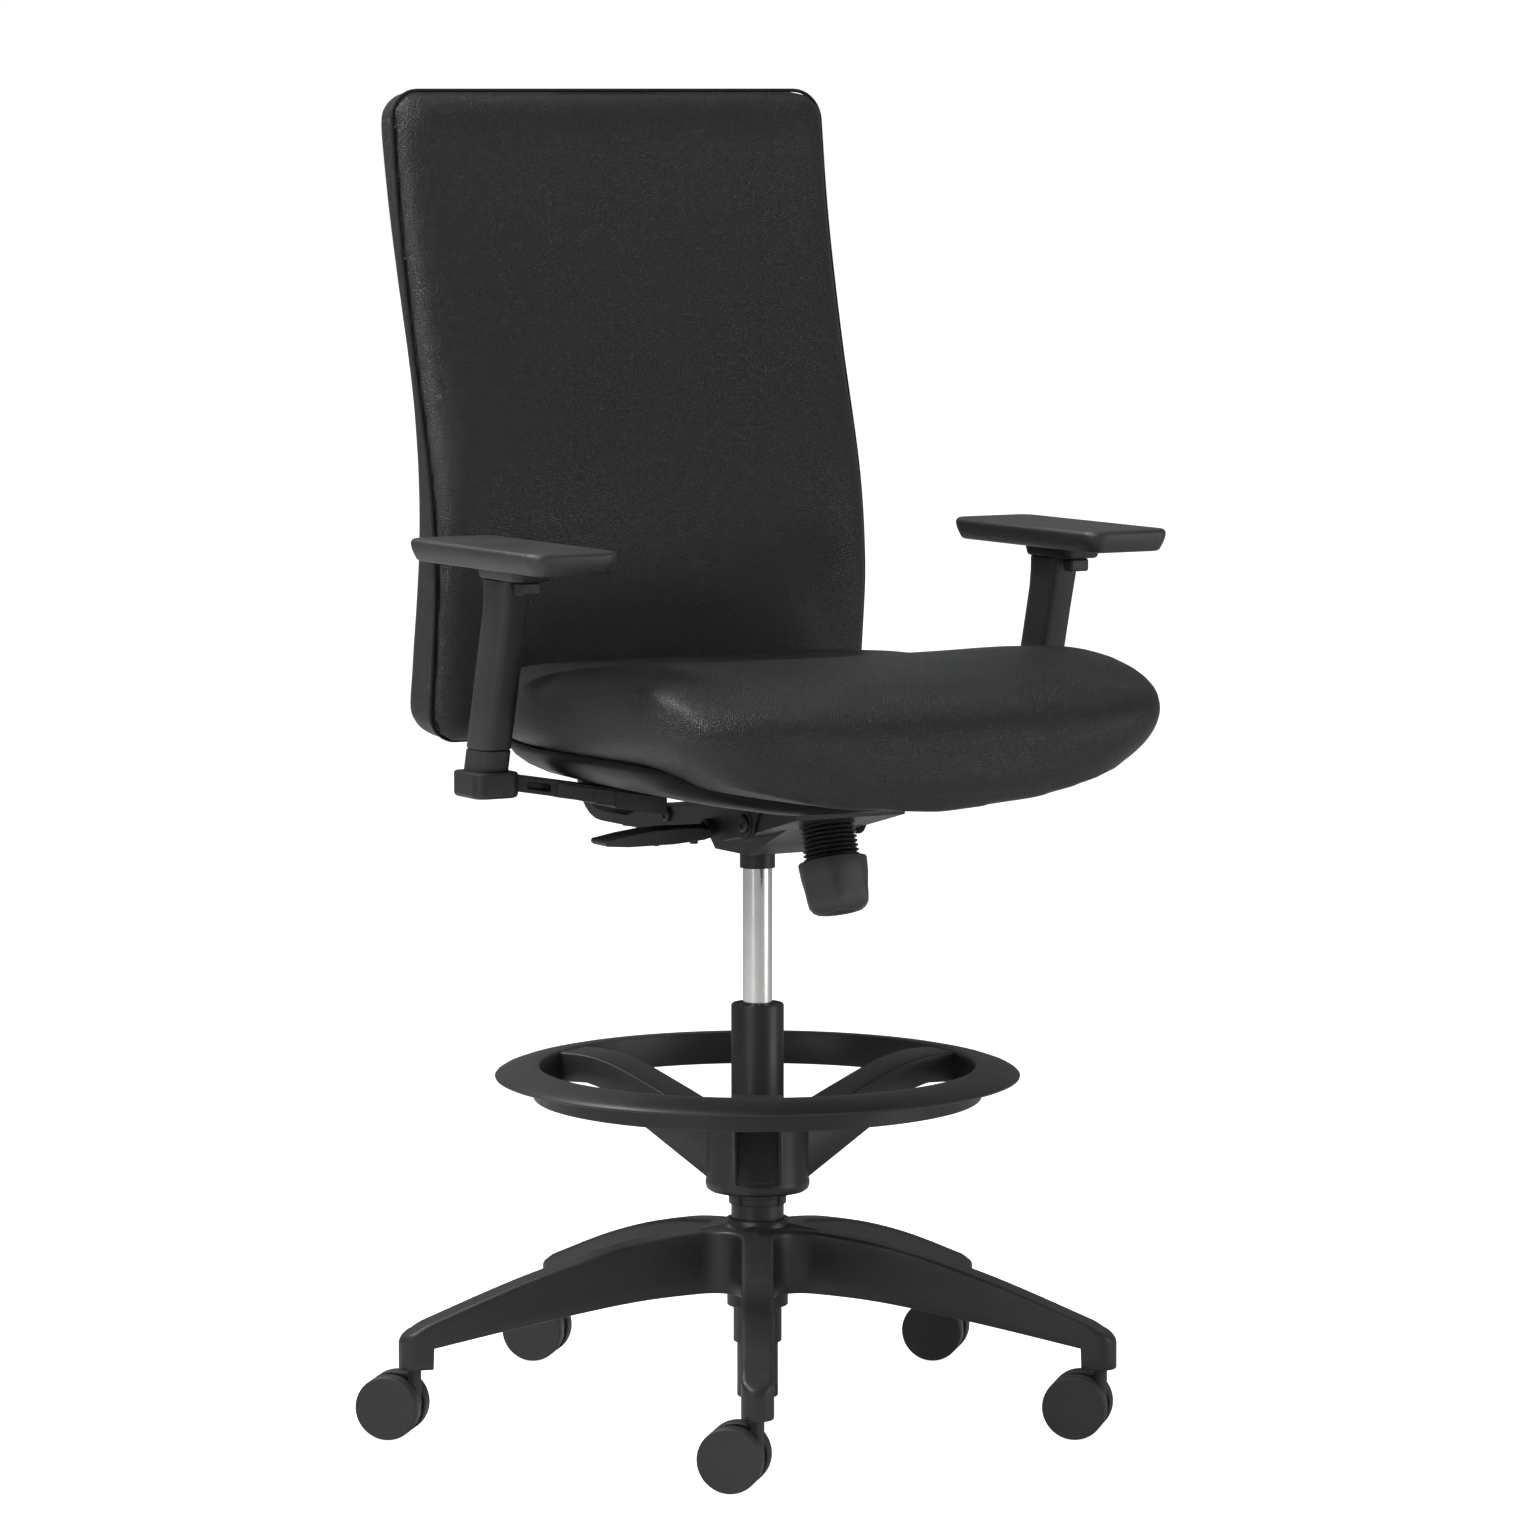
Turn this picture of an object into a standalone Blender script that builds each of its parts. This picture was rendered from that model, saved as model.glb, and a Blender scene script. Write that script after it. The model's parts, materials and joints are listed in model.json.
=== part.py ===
"""Drafting chair: a high swivel chair with a foot ring, arms and a synchronous tilt.

Metres, +Z up. The seat faces -Y and the floor is z = 0. Everything is drawn about the
column's axis, and one empty then moves the whole chair so that the middle of its
footprint is at the origin.
"""
from math import atan2, cos, pi, radians, sin, sqrt, tan

import bmesh
import bpy
from mathutils import Matrix, Vector

# ---------------------------------------------------------------- driving sizes
GAP = 0.0003  # running gap between faces that touch
COLUMN_AT = (0.0214, -0.0167)  # column axis from the middle of the footprint

# five-star base
LEG_COUNT = 5
FIRST_LEG = radians(-30)  # azimuth from -Y towards +X
STEM_CIRCLE = 0.337
LEG_WIDTH = 0.030
LEG_FILLET = 0.030
LEG_WALL = 0.005
HUB_TOP = 0.190
HUB_UNDER = 0.123
HUB_BOSS_R = 0.029
HUB_BOSS_END = 0.106
HUB_SLEEVE_R = 0.023
HUB_SLEEVE_END = 0.071
LEG_TOP_AT_HUB = 0.182
SOCKET_HEIGHT = 0.0395  # leg's end, from the socket's mouth to its crown
SOCKET_BOSS = 0.017  # part of the socket that stands below the leg
SOCKET_DEPTH = 0.030

# castors
WHEEL_R = 0.030
WHEEL_WIDTH = 0.0165
WHEEL_SIDES = 24
CASTOR_WIDTH = 0.047
CASTOR_TRAIL = 0.0215
CASTOR_TURN = radians(-43)  # azimuth of every castor's axle
STEM_R = 0.004
STEM_BOSS_R = 0.0062
HOOD_INSET = 0.0025  # hood's edge inside the wheels' tread
HOOD_R = WHEEL_R - HOOD_INSET
AXLE_R = 0.003
WHEEL_CLEARANCE = 0.005  # between the wheels and the leg's socket
SOCKET_END = 2 * WHEEL_R + WHEEL_CLEARANCE
LEG_UNDER_AT_END = SOCKET_END + SOCKET_BOSS
LEG_TOP_AT_END = SOCKET_END + SOCKET_HEIGHT

# gas lift
TUBE_R = 0.025
TUBE_WALL = 0.0015
TUBE_TOP = 0.395
TUBE_FOOT_R = 0.0195
TUBE_SHOULDER = 0.140
TUBE_END = 0.018
CYLINDER_R = 0.014
CYLINDER_WALL = 0.0025
CYLINDER_TOP = 0.556
CYLINDER_END = 0.185
BUSH_LENGTH = 0.050
ROD_R = 0.005
PISTON_TOP = 0.340
BUTTON_R = 0.0035

# foot ring
RING_R = 0.2485
RING_INNER_R = 0.206
RING_TOP = 0.337
RING_EDGE_DROP = 0.006
RING_SKIRT_END = 0.3055
RING_PLATE = 0.006
RING_SKIRT = 0.006
RING_HUB_R = 0.0495
RING_HUB_END = 0.2165
RING_HUB_TOP = 0.292
SPOKE_COUNT = 3
SPOKE_WIDTH = 0.046
SPOKE_WALL = 0.0035
COLLET_R = TUBE_R + GAP + 0.0027
COLLET_END = 0.2045

# tilt mechanism
CHASSIS_HALF = 0.058
CHASSIS_WALL = 0.003
CHASSIS_FLOOR = 0.556
CHASSIS_TOP = 0.594
CHASSIS_FALL = radians(7)  # slope of the side plates' top behind the main pivot
CHASSIS_FRONT = -0.172
CHASSIS_REAR = 0.158
TROUGH_HALF = 0.030
TROUGH_FLOOR = 0.5405
TAPER_BUSH_R = 0.01675
TAPER_BUSH_END = 0.524
MAIN_PIVOT = (-0.083, 0.577)  # Y, Z
MAIN_PIVOT_R = 0.006
REAR_PIVOT = (0.070, 0.571)
REAR_PIVOT_R = 0.005
KNOB_LEAN = radians(17)
KNOB_AT = (-0.1455, 0.5215)  # middle of the knob, Y, Z
KNOB_R = 0.0300
KNOB_HEIGHT = 0.050
POST_R = 0.0262
POST_ROOT_R = 0.0222
POST_RIDGES = 9
POST_PITCH = 0.0042
LEVER_Z = 0.567
LEVER_ROD_R = 0.004
PADDLE_Y = -0.016
PADDLE_IN = -0.066
PADDLE_OUT = -0.180
PADDLE_WIDTH = 0.030

# seat
SEAT_PLATE_Z = 0.597
SEAT_PLATE_T = 0.003
SEAT_PLATE_HALF = 0.085
PAN_T = 0.014
SEAT_HALF = 0.268
SEAT_FRONT = -0.353
SEAT_REAR = 0.185
SEAT_TOP = 0.736
SEAT_REAR_DIP = 0.024
SEAT_SIDE_UNDER = 0.652
SEAT_FRONT_UNDER = 0.610

# back
BACK_HALF = 0.238
BACK_END = 0.634
BACK_TOP = 1.254
BACK_CORNER = 0.030
BACK_FRONT_T = 0.020  # front shell's depth; the rear shell's depth follows back_depth
BRACKET_HALF = 0.038
BRACKET_T = 0.010
BRACKET_TOP = 0.800

# arms
ARM_X = 0.2945
ARM_LEAN = atan2(0.264, 1.0)
ARM_FOOT_Y = -0.012  # post axis where it leaves the socket block
ARM_BLOCK = (0.608, 0.632)
ARM_SEAM = 0.653
ARM_SLEEVE_TOP = 0.811
POST_HALF_X = 0.0165
POST_HALF_Y = 0.0220
SLEEVE_WALL = 0.004
TONGUE_TOP = 0.775
PAD_LENGTH = 0.254
PAD_WIDTH = 0.090
PAD_T = 0.022
PAD_TOP = 0.844
PAD_Y = -0.065
BAR_IN = 0.116
BAR_SLOPE = radians(9.7)
BAR_WIDTH = 0.044
BAR_T = 0.015

# ---------------------------------------------------------------- scene and helpers
for leftover in list(bpy.data.objects):
    bpy.data.objects.remove(leftover, do_unlink=True)

chair = bpy.data.collections.new("drafting_chair")
cutters = bpy.data.collections.new("cutters")
for collection in (chair, cutters):
    bpy.context.scene.collection.children.link(collection)


def finish(name, colour, roughness, metallic=0.0):
    """A plain Principled material."""
    material = bpy.data.materials.new(name)
    material.use_nodes = True
    shader = material.node_tree.nodes["Principled BSDF"]
    shader.inputs["Base Color"].default_value = (*colour, 1.0)
    shader.inputs["Roughness"].default_value = roughness
    shader.inputs["Metallic"].default_value = metallic
    return material


BLACK_NYLON = finish("black_nylon", (0.018, 0.018, 0.019), 0.45)
BLACK_PLASTIC = finish("black_plastic", (0.020, 0.020, 0.021), 0.50)
PAD_FOAM = finish("arm_pad_foam", (0.030, 0.030, 0.032), 0.65)
BLACK_STEEL = finish("black_powder_coat", (0.016, 0.016, 0.017), 0.40)
CHROME = finish("chrome", (0.72, 0.70, 0.68), 0.12, 1.0)
BRIGHT_STEEL = finish("bright_steel", (0.45, 0.45, 0.46), 0.35, 1.0)
VINYL = finish("green_black_vinyl", (0.012, 0.017, 0.015), 0.42)


def shade(mesh):
    mesh.shade_smooth()
    mesh.set_sharp_from_angle(angle=radians(35))


def make(name, mesh, material=None, body=None):
    """Link a mesh as a named piece of a body, or as a cutter when it has no material."""
    piece = bpy.data.objects.new(name, mesh)
    if material is None:
        cutters.objects.link(piece)
        piece.hide_render = True
        piece.display_type = "WIRE"
    else:
        chair.objects.link(piece)
        mesh.materials.append(material)
        shade(mesh)
    if body is not None:
        hold(piece, body)
    return piece


def hold(piece, body):
    """Parent a piece to a body's empty without moving it."""
    bpy.context.view_layer.update()
    piece.parent = body
    piece.matrix_parent_inverse = body.matrix_world.inverted()


def body_empty(name, place, parent=None):
    empty = bpy.data.objects.new(name, None)
    empty.location = place
    empty.empty_display_size = 0.05
    chair.objects.link(empty)
    if parent is not None:
        hold(empty, parent)
    return empty


def apply_matrix(piece, matrix):
    piece.data.transform(matrix)
    piece.data.update()
    return piece


def azimuth(angle):
    """Turn that takes -Y to the azimuth."""
    return Matrix.Rotation(angle, 4, "Z")


def block(name, size, centre, material=None, body=None, bevel=0.0, segments=2):
    """A box with its sizes and place in its mesh, and an optional rounded edge."""
    bm = bmesh.new()
    bmesh.ops.create_cube(bm, size=1.0)
    bmesh.ops.scale(bm, vec=size, verts=bm.verts)
    bmesh.ops.translate(bm, vec=centre, verts=bm.verts)
    mesh = bpy.data.meshes.new(name)
    bm.to_mesh(mesh)
    bm.free()
    piece = make(name, mesh, material, body)
    if bevel:
        round_edges(piece, bevel, segments)
    return piece


def round_edges(piece, width, segments=2, angle=radians(30)):
    rounding = piece.modifiers.new("round", "BEVEL")
    rounding.width = width
    rounding.segments = segments
    rounding.limit_method = "ANGLE"
    rounding.angle_limit = angle
    return rounding


def rod(name, radius, start, end, material=None, body=None, sides=16):
    """A round bar between two points."""
    start, end = Vector(start), Vector(end)
    span = end - start
    bm = bmesh.new()
    bmesh.ops.create_cone(
        bm, cap_ends=True, segments=sides, radius1=radius, radius2=radius, depth=span.length
    )
    turn = Vector((0, 0, 1)).rotation_difference(span).to_matrix().to_4x4()
    bmesh.ops.transform(
        bm, matrix=Matrix.Translation((start + end) / 2) @ turn, verts=bm.verts
    )
    mesh = bpy.data.meshes.new(name)
    bm.to_mesh(mesh)
    bm.free()
    return make(name, mesh, material, body)


def turned(name, profile, material=None, body=None, steps=24, place=None):
    """Spin a closed (radius, height) outline, outer side first from top to bottom, about Z."""
    mesh = bpy.data.meshes.new(name)
    points = [(radius, 0.0, height) for radius, height in profile]
    edges = [(i, (i + 1) % len(points)) for i in range(len(points))]
    edges = [(i, j) for i, j in edges if points[i][0] > 0 or points[j][0] > 0]
    mesh.from_pydata(points, edges, [])
    piece = make(name, mesh, material, body)
    spin = piece.modifiers.new("spin", "SCREW")
    spin.axis = "Z"
    spin.steps = steps
    spin.render_steps = steps
    spin.use_merge_vertices = True
    spin.merge_threshold = 0.00001
    piece = solidified(piece)
    if place is not None:
        apply_matrix(piece, place)
    return piece


def solidified(piece):
    """Replace a piece's mesh by what its modifiers or curve give, welded, in place."""
    bpy.context.view_layer.update()
    depsgraph = bpy.context.evaluated_depsgraph_get()
    mesh = bpy.data.meshes.new_from_object(piece.evaluated_get(depsgraph))
    bm = bmesh.new()
    bm.from_mesh(mesh)
    bmesh.ops.remove_doubles(bm, verts=bm.verts, dist=0.00001)
    bmesh.ops.recalc_face_normals(bm, faces=bm.faces)
    bm.to_mesh(mesh)
    bm.free()
    if piece.type == "MESH":
        piece.modifiers.clear()
        old = piece.data
        piece.data = mesh
        bpy.data.meshes.remove(old)
        shade(mesh)
        return piece
    name, matrix, parent = piece.name, piece.matrix_world.copy(), piece.parent
    material = piece.data.materials[0] if piece.data.materials else None
    mesh.materials.clear()
    bpy.data.objects.remove(piece, do_unlink=True)
    mesh.name = name
    made = make(name, mesh, material)
    made.matrix_world = matrix
    if parent is not None:
        hold(made, parent)
    return made


def plate(name, outline, thickness, place=None, material=None, body=None):
    """Extrude a flat outline both ways from its plane, then move it into place.

    The outline is drawn in X and Y. `place` is the matrix that turns and moves it.
    """
    curve = bpy.data.curves.new(name, "CURVE")
    curve.dimensions = "2D"
    curve.fill_mode = "BOTH"
    curve.extrude = thickness / 2
    spline = curve.splines.new("POLY")
    spline.points.add(len(outline) - 1)
    for point, (x, y) in zip(spline.points, outline):
        point.co = (x, y, 0, 1)
    spline.use_cyclic_u = True
    if material is not None:
        curve.materials.append(material)
    drawn = bpy.data.objects.new(name, curve)
    (cutters if material is None else chair).objects.link(drawn)
    piece = solidified(drawn)
    if place is not None:
        apply_matrix(piece, place)
    if body is not None:
        hold(piece, body)
    return piece


def side_plate(name, outline, x_low, x_high, material=None, body=None):
    """Extrude an outline given in Y and Z along X."""
    stand = Matrix(((0, 0, 1, (x_low + x_high) / 2), (1, 0, 0, 0), (0, 1, 0, 0), (0, 0, 0, 1)))
    return plate(name, outline, x_high - x_low, stand, material, body)


def front_plate(name, outline, y_low, y_high, material=None, body=None):
    """Extrude an outline given in X and Z along Y."""
    stand = Matrix(((1, 0, 0, 0), (0, 0, -1, (y_low + y_high) / 2), (0, 1, 0, 0), (0, 0, 0, 1)))
    return plate(name, outline, y_high - y_low, stand, material, body)


def boolean(piece, other, operation):
    step = piece.modifiers.new(operation.lower(), "BOOLEAN")
    step.operation = operation
    step.object = other
    return piece


def cut(piece, *tools):
    for tool in tools:
        boolean(piece, tool, "DIFFERENCE")
    return piece


def join(piece, *tools):
    for tool in tools:
        boolean(piece, tool, "UNION")
    return piece


def loft(name, rings, material, body, flat_ends=False):
    """Skin closed rings of equal point counts, from the first to the last, and cap both ends."""
    count = len(rings[0])
    bm = bmesh.new()
    rows = [[bm.verts.new(point) for point in ring] for ring in rings]
    for low, high in zip(rows, rows[1:]):
        for i in range(count):
            j = (i + 1) % count
            bm.faces.new((low[i], low[j], high[j]))
            bm.faces.new((low[i], high[j], high[i]))
    for row in (rows[0], rows[-1]):
        if flat_ends:
            bm.faces.new(row)
            continue
        middle = bm.verts.new(sum((v.co for v in row), Vector()) / count)
        for i in range(count):
            bm.faces.new((row[i], row[(i + 1) % count], middle))
    bmesh.ops.recalc_face_normals(bm, faces=bm.faces)
    mesh = bpy.data.meshes.new(name)
    bm.to_mesh(mesh)
    bm.free()
    return make(name, mesh, material, body)


def arc(centre, radius, start, end, count):
    """Points on a circle from one angle to another, both included."""
    return [
        (
            centre[0] + radius * cos(start + (end - start) * i / (count - 1)),
            centre[1] + radius * sin(start + (end - start) * i / (count - 1)),
        )
        for i in range(count)
    ]


def rounded_box(half_x, half_y, radius, count=4, centre=(0.0, 0.0)):
    """A rectangle with round corners, anticlockwise."""
    points = []
    for corner, (sx, sy) in enumerate(((1, 1), (-1, 1), (-1, -1), (1, -1))):
        middle = (centre[0] + sx * (half_x - radius), centre[1] + sy * (half_y - radius))
        points += arc(middle, radius, corner * pi / 2, (corner + 1) * pi / 2, count)
    return points


def smooth_between(keys, t):
    """Smooth curve through (position, value) keys, by Catmull-Rom slopes."""
    for i in range(len(keys) - 1):
        (t0, v0), (t1, v1) = keys[i], keys[i + 1]
        if t <= t1 or i == len(keys) - 2:
            break
    before = keys[max(i - 1, 0)]
    after = keys[min(i + 2, len(keys) - 1)]
    slope0 = (v1 - before[1]) / (t1 - before[0])
    slope1 = (after[1] - v0) / (after[0] - t0)
    h = t1 - t0
    s = min(max((t - t0) / h, 0.0), 1.0)
    return (
        v0 * (2 * s**3 - 3 * s**2 + 1)
        + slope0 * h * (s**3 - 2 * s**2 + s)
        + v1 * (3 * s**2 - 2 * s**3)
        + slope1 * h * (s**3 - s**2)
    )


# ---------------------------------------------------------------- bodies
base = body_empty("body_base", (0, 0, 0))
swivel = body_empty("body_swivel", (0, 0, TUBE_END), base)
lift = body_empty("body_lift", (0, 0, CYLINDER_TOP), swivel)
button_body = body_empty("body_valve_button", (0, 0, CYLINDER_TOP), lift)
ring_body = body_empty("body_foot_ring", (0, 0, RING_HUB_END), base)
seat_body = body_empty("body_seat", (0, *MAIN_PIVOT), lift)
back_body = body_empty("body_back", (0, *REAR_PIVOT), lift)
lever_body = body_empty("body_height_lever", (-CHASSIS_HALF, 0, LEVER_Z), lift)
knob_body = body_empty("body_tension_knob", (0, *KNOB_AT), lift)


# ---------------------------------------------------------------- five-star base
def leg_top(radius):
    """Height of a leg's crown at a distance from the column."""
    keys = [
        (TUBE_R, LEG_TOP_AT_HUB + 0.002),
        (0.12, LEG_TOP_AT_HUB - 0.009),
        (0.22, LEG_TOP_AT_HUB - 0.035),
        (STEM_CIRCLE, LEG_TOP_AT_END),
    ]
    return smooth_between(keys, radius)


def leg_under(radius):
    """Height of a leg's lower edge at a distance from the column."""
    keys = [
        (HUB_BOSS_R, HUB_UNDER),
        (0.12, HUB_UNDER - 0.005),
        (0.22, HUB_UNDER - 0.020),
        (STEM_CIRCLE, LEG_UNDER_AT_END),
    ]
    return smooth_between(keys, radius)


def star_outline(half, fillet, reach):
    """Plan of the legs, with round ends and round inner corners."""
    step = 2 * pi / LEG_COUNT
    corner_r = (half + fillet) / sin(step / 2)
    points = []
    for k in range(LEG_COUNT):
        heading = FIRST_LEG - pi / 2 + k * step
        tip = (reach * cos(heading), reach * sin(heading))
        points += arc(tip, half, heading - pi / 2, heading + pi / 2, 7)
        middle = heading + step / 2
        corner = (corner_r * cos(middle), corner_r * sin(middle))
        opening = pi / 2 - step / 2
        points += arc(corner, fillet, middle + pi + opening, middle + pi - opening, 5)
    return points


def star_base():
    half = LEG_WIDTH / 2
    tip = STEM_CIRCLE + half
    slab = (SOCKET_END - 0.02, HUB_TOP + 0.02)
    lift_up = Matrix.Translation((0, 0, (slab[0] + slab[1]) / 2))
    star = plate(
        "star_base",
        star_outline(half, LEG_FILLET, STEM_CIRCLE),
        slab[1] - slab[0],
        lift_up,
        BLACK_NYLON,
        base,
    )
    stations = [0.05 + (STEM_CIRCLE - 0.05) * i / 6 for i in range(7)]
    socket_in = STEM_CIRCLE - half
    profile = [(TUBE_R + GAP, HUB_TOP), (TUBE_R + 0.005, HUB_TOP), (0.040, LEG_TOP_AT_HUB + 0.003)]
    profile += [(r, leg_top(r)) for r in stations]
    profile += [
        (tip - 0.006, LEG_TOP_AT_END - 0.005),
        (tip - 0.001, LEG_TOP_AT_END - 0.013),
        (tip + 0.004, LEG_TOP_AT_END - 0.020),
        (tip + 0.004, SOCKET_END),
        (socket_in, SOCKET_END),
    ]
    profile += [(r, leg_under(r)) for r in [socket_in] + stations[-2:0:-1]]
    profile += [
        (HUB_BOSS_R, HUB_UNDER),
        (HUB_BOSS_R, HUB_BOSS_END),
        (HUB_SLEEVE_R, HUB_BOSS_END),
        (HUB_SLEEVE_R, HUB_SLEEVE_END),
        (TUBE_FOOT_R + GAP, HUB_SLEEVE_END),
        (TUBE_FOOT_R + GAP, TUBE_SHOULDER - GAP),
        (TUBE_R + GAP, TUBE_SHOULDER - GAP),
    ]
    envelope = turned("star_envelope", profile, None, base, steps=40)
    boolean(star, envelope, "INTERSECT")
    for k in range(LEG_COUNT):
        turn = azimuth(FIRST_LEG + 2 * pi * k / LEG_COUNT)
        channel = [(-r, leg_top(r) - LEG_WALL) for r in stations[1:-1]]
        channel += [(-stations[-2], SOCKET_END - 0.02), (-stations[1], SOCKET_END - 0.02)]
        hollow = side_plate(f"leg_channel_{k}", channel, LEG_WALL - half, half - LEG_WALL)
        apply_matrix(hollow, turn)
        hold(hollow, base)
        socket = rod(
            f"leg_socket_{k}",
            STEM_R + GAP,
            (0, -STEM_CIRCLE, SOCKET_END - 0.01),
            (0, -STEM_CIRCLE, SOCKET_END + SOCKET_DEPTH),
            sides=12,
        )
        apply_matrix(socket, turn)
        hold(socket, base)
        cut(star, hollow, socket)
    return star


# ---------------------------------------------------------------- castors
def castor(k):
    """One twin-wheel castor, drawn at the origin with its axle along Y, then placed."""
    leg = azimuth(FIRST_LEG + 2 * pi * k / LEG_COUNT)
    foot = leg @ Vector((0, -STEM_CIRCLE, 0))
    place = Matrix.Translation(foot) @ azimuth(CASTOR_TURN)
    axle_at = Vector((-CASTOR_TRAIL, 0, WHEEL_R))
    fork = body_empty(f"body_castor_{k + 1}", foot + Vector((0, 0, SOCKET_END)), base)

    rod(
        f"castor_{k + 1}_stem",
        STEM_R,
        foot + Vector((0, 0, WHEEL_R + 0.012)),
        foot + Vector((0, 0, SOCKET_END + SOCKET_DEPTH - GAP)),
        BRIGHT_STEEL,
        base,
        sides=12,
    )
    inner = CASTOR_WIDTH / 2 - WHEEL_WIDTH
    hood_half = inner - GAP
    # hood: the upper half of a disc between the wheels, running into the stem's boss
    outline = arc((-CASTOR_TRAIL, WHEEL_R), HOOD_R, pi, radians(-12), 11)
    outline += [(-CASTOR_TRAIL + 0.012, WHEEL_R - 0.006), (-CASTOR_TRAIL, WHEEL_R - 0.009)]
    outline += [(-CASTOR_TRAIL - 0.012, WHEEL_R - 0.004)]
    hood = front_plate(
        f"castor_{k + 1}_hood", outline[::-1], -hood_half, hood_half, BLACK_NYLON, None
    )
    boss = rod(
        f"castor_{k + 1}_boss",
        STEM_BOSS_R,
        (0, 0, WHEEL_R + 0.006),
        (0, 0, SOCKET_END - 0.001),
        sides=12,
    )
    bore = rod(
        f"castor_{k + 1}_bore",
        STEM_R + GAP,
        (0, 0, WHEEL_R + 0.012 - GAP),
        (0, 0, SOCKET_END + 0.01),
        sides=12,
    )
    axle_bore = rod(
        f"castor_{k + 1}_axle_bore",
        AXLE_R + GAP / 2,
        axle_at + Vector((0, -CASTOR_WIDTH, 0)),
        axle_at + Vector((0, CASTOR_WIDTH, 0)),
        sides=12,
    )
    axle_half = CASTOR_WIDTH / 2 - 0.003
    axle = rod(
        f"castor_{k + 1}_axle",
        AXLE_R,
        axle_at + Vector((0, -axle_half, 0)),
        axle_at + Vector((0, axle_half, 0)),
        BRIGHT_STEEL,
        sides=12,
    )
    join(hood, boss)
    cut(hood, bore, axle_bore)
    for piece in (hood, boss, bore, axle_bore, axle):
        apply_matrix(piece, place)
        hold(piece, fork)

    # wheel: a flat-faced disc with a tread edge, open to the axle on its inner side
    rim = 0.0015
    seat = AXLE_R + GAP / 2
    tread = WHEEL_R / cos(pi / WHEEL_SIDES)  # corners outside the circle, flats on it
    profile = [
        (tread - rim, WHEEL_WIDTH),
        (tread, WHEEL_WIDTH - rim),
        (tread, 0.0),
        (seat, 0.0),
        (seat, WHEEL_WIDTH - 0.003 + GAP),
        (0.0, WHEEL_WIDTH - 0.003 + GAP),
        (0.0, WHEEL_WIDTH),
    ]
    for side, tag in ((-1, "near"), (1, "far")):
        spin_up = Matrix.Rotation(-side * pi / 2, 4, "X")
        flat_down = Matrix.Rotation(pi / WHEEL_SIDES, 4, "Z")
        shift = Matrix.Translation(axle_at + Vector((0, side * inner, 0)))
        name = f"castor_{k + 1}_wheel_{tag}"
        wheel_body = body_empty(f"body_{name}", place @ axle_at, fork)
        wheel = turned(
            name, profile, BLACK_PLASTIC, None, WHEEL_SIDES, place @ shift @ spin_up @ flat_down
        )
        hold(wheel, wheel_body)


# ---------------------------------------------------------------- gas lift
def column():
    bore = TUBE_R - TUBE_WALL
    foot_bore = TUBE_FOOT_R - 0.0025
    floor = TUBE_END + 0.006
    turned(
        "column_tube",
        [
            (TUBE_R - 0.0015, TUBE_TOP),
            (TUBE_R, TUBE_TOP - 0.002),
            (TUBE_R, TUBE_SHOULDER),
            (TUBE_FOOT_R, TUBE_SHOULDER),
            (TUBE_FOOT_R, TUBE_END),
            (ROD_R + GAP, TUBE_END),
            (ROD_R + GAP, floor),
            (foot_bore, floor),
            (foot_bore, TUBE_SHOULDER + 0.006),
            (bore, TUBE_SHOULDER + 0.006),
            (bore, TUBE_TOP),
        ],
        BLACK_STEEL,
        base,
    )
    turned(
        "guide_bush",
        [
            (bore - GAP, TUBE_TOP - 0.001),
            (bore - GAP, TUBE_TOP - BUSH_LENGTH),
            (CYLINDER_R + GAP, TUBE_TOP - BUSH_LENGTH),
            (CYLINDER_R + GAP, TUBE_TOP - 0.001),
        ],
        BLACK_PLASTIC,
        base,
    )
    bearing_top = floor + GAP + 0.009
    turned(
        "thrust_bearing",
        [
            (foot_bore - GAP, bearing_top),
            (foot_bore - GAP, floor + GAP),
            (ROD_R + GAP, floor + GAP),
            (ROD_R + GAP, bearing_top),
        ],
        BRIGHT_STEEL,
        base,
        steps=16,
    )
    shoulder = bearing_top + GAP
    turned(
        "piston_rod",
        [
            (0.0, PISTON_TOP),
            (CYLINDER_R - CYLINDER_WALL - GAP, PISTON_TOP),
            (CYLINDER_R - CYLINDER_WALL - GAP, PISTON_TOP - 0.016),
            (ROD_R, PISTON_TOP - 0.016),
            (ROD_R, shoulder + 0.004),
            (ROD_R + 0.005, shoulder + 0.004),
            (ROD_R + 0.005, shoulder),
            (ROD_R, shoulder),
            (ROD_R, TUBE_END - 0.0045),
            (0.0, TUBE_END - 0.0045),
        ],
        BRIGHT_STEEL,
        swivel,
        steps=16,
    )
    bore = CYLINDER_R - CYLINDER_WALL
    turned(
        "gas_cylinder",
        [
            (BUTTON_R + GAP, CYLINDER_TOP),
            (CYLINDER_R - 0.001, CYLINDER_TOP),
            (CYLINDER_R, CYLINDER_TOP - 0.001),
            (CYLINDER_R, CYLINDER_END),
            (bore, CYLINDER_END),
            (bore, CYLINDER_TOP - 0.040),
            (0.0, CYLINDER_TOP - 0.036),
            (0.0, CYLINDER_TOP - 0.012),
            (BUTTON_R + GAP, CYLINDER_TOP - 0.012),
        ],
        CHROME,
        lift,
    )
    turned(
        "valve_button",
        [
            (0.0, LEVER_Z - LEVER_ROD_R - GAP),
            (BUTTON_R, LEVER_Z - LEVER_ROD_R - GAP),
            (BUTTON_R, CYLINDER_TOP - 0.0075),
            (0.0, CYLINDER_TOP - 0.0075),
        ],
        BRIGHT_STEEL,
        button_body,
        steps=16,
    )


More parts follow.
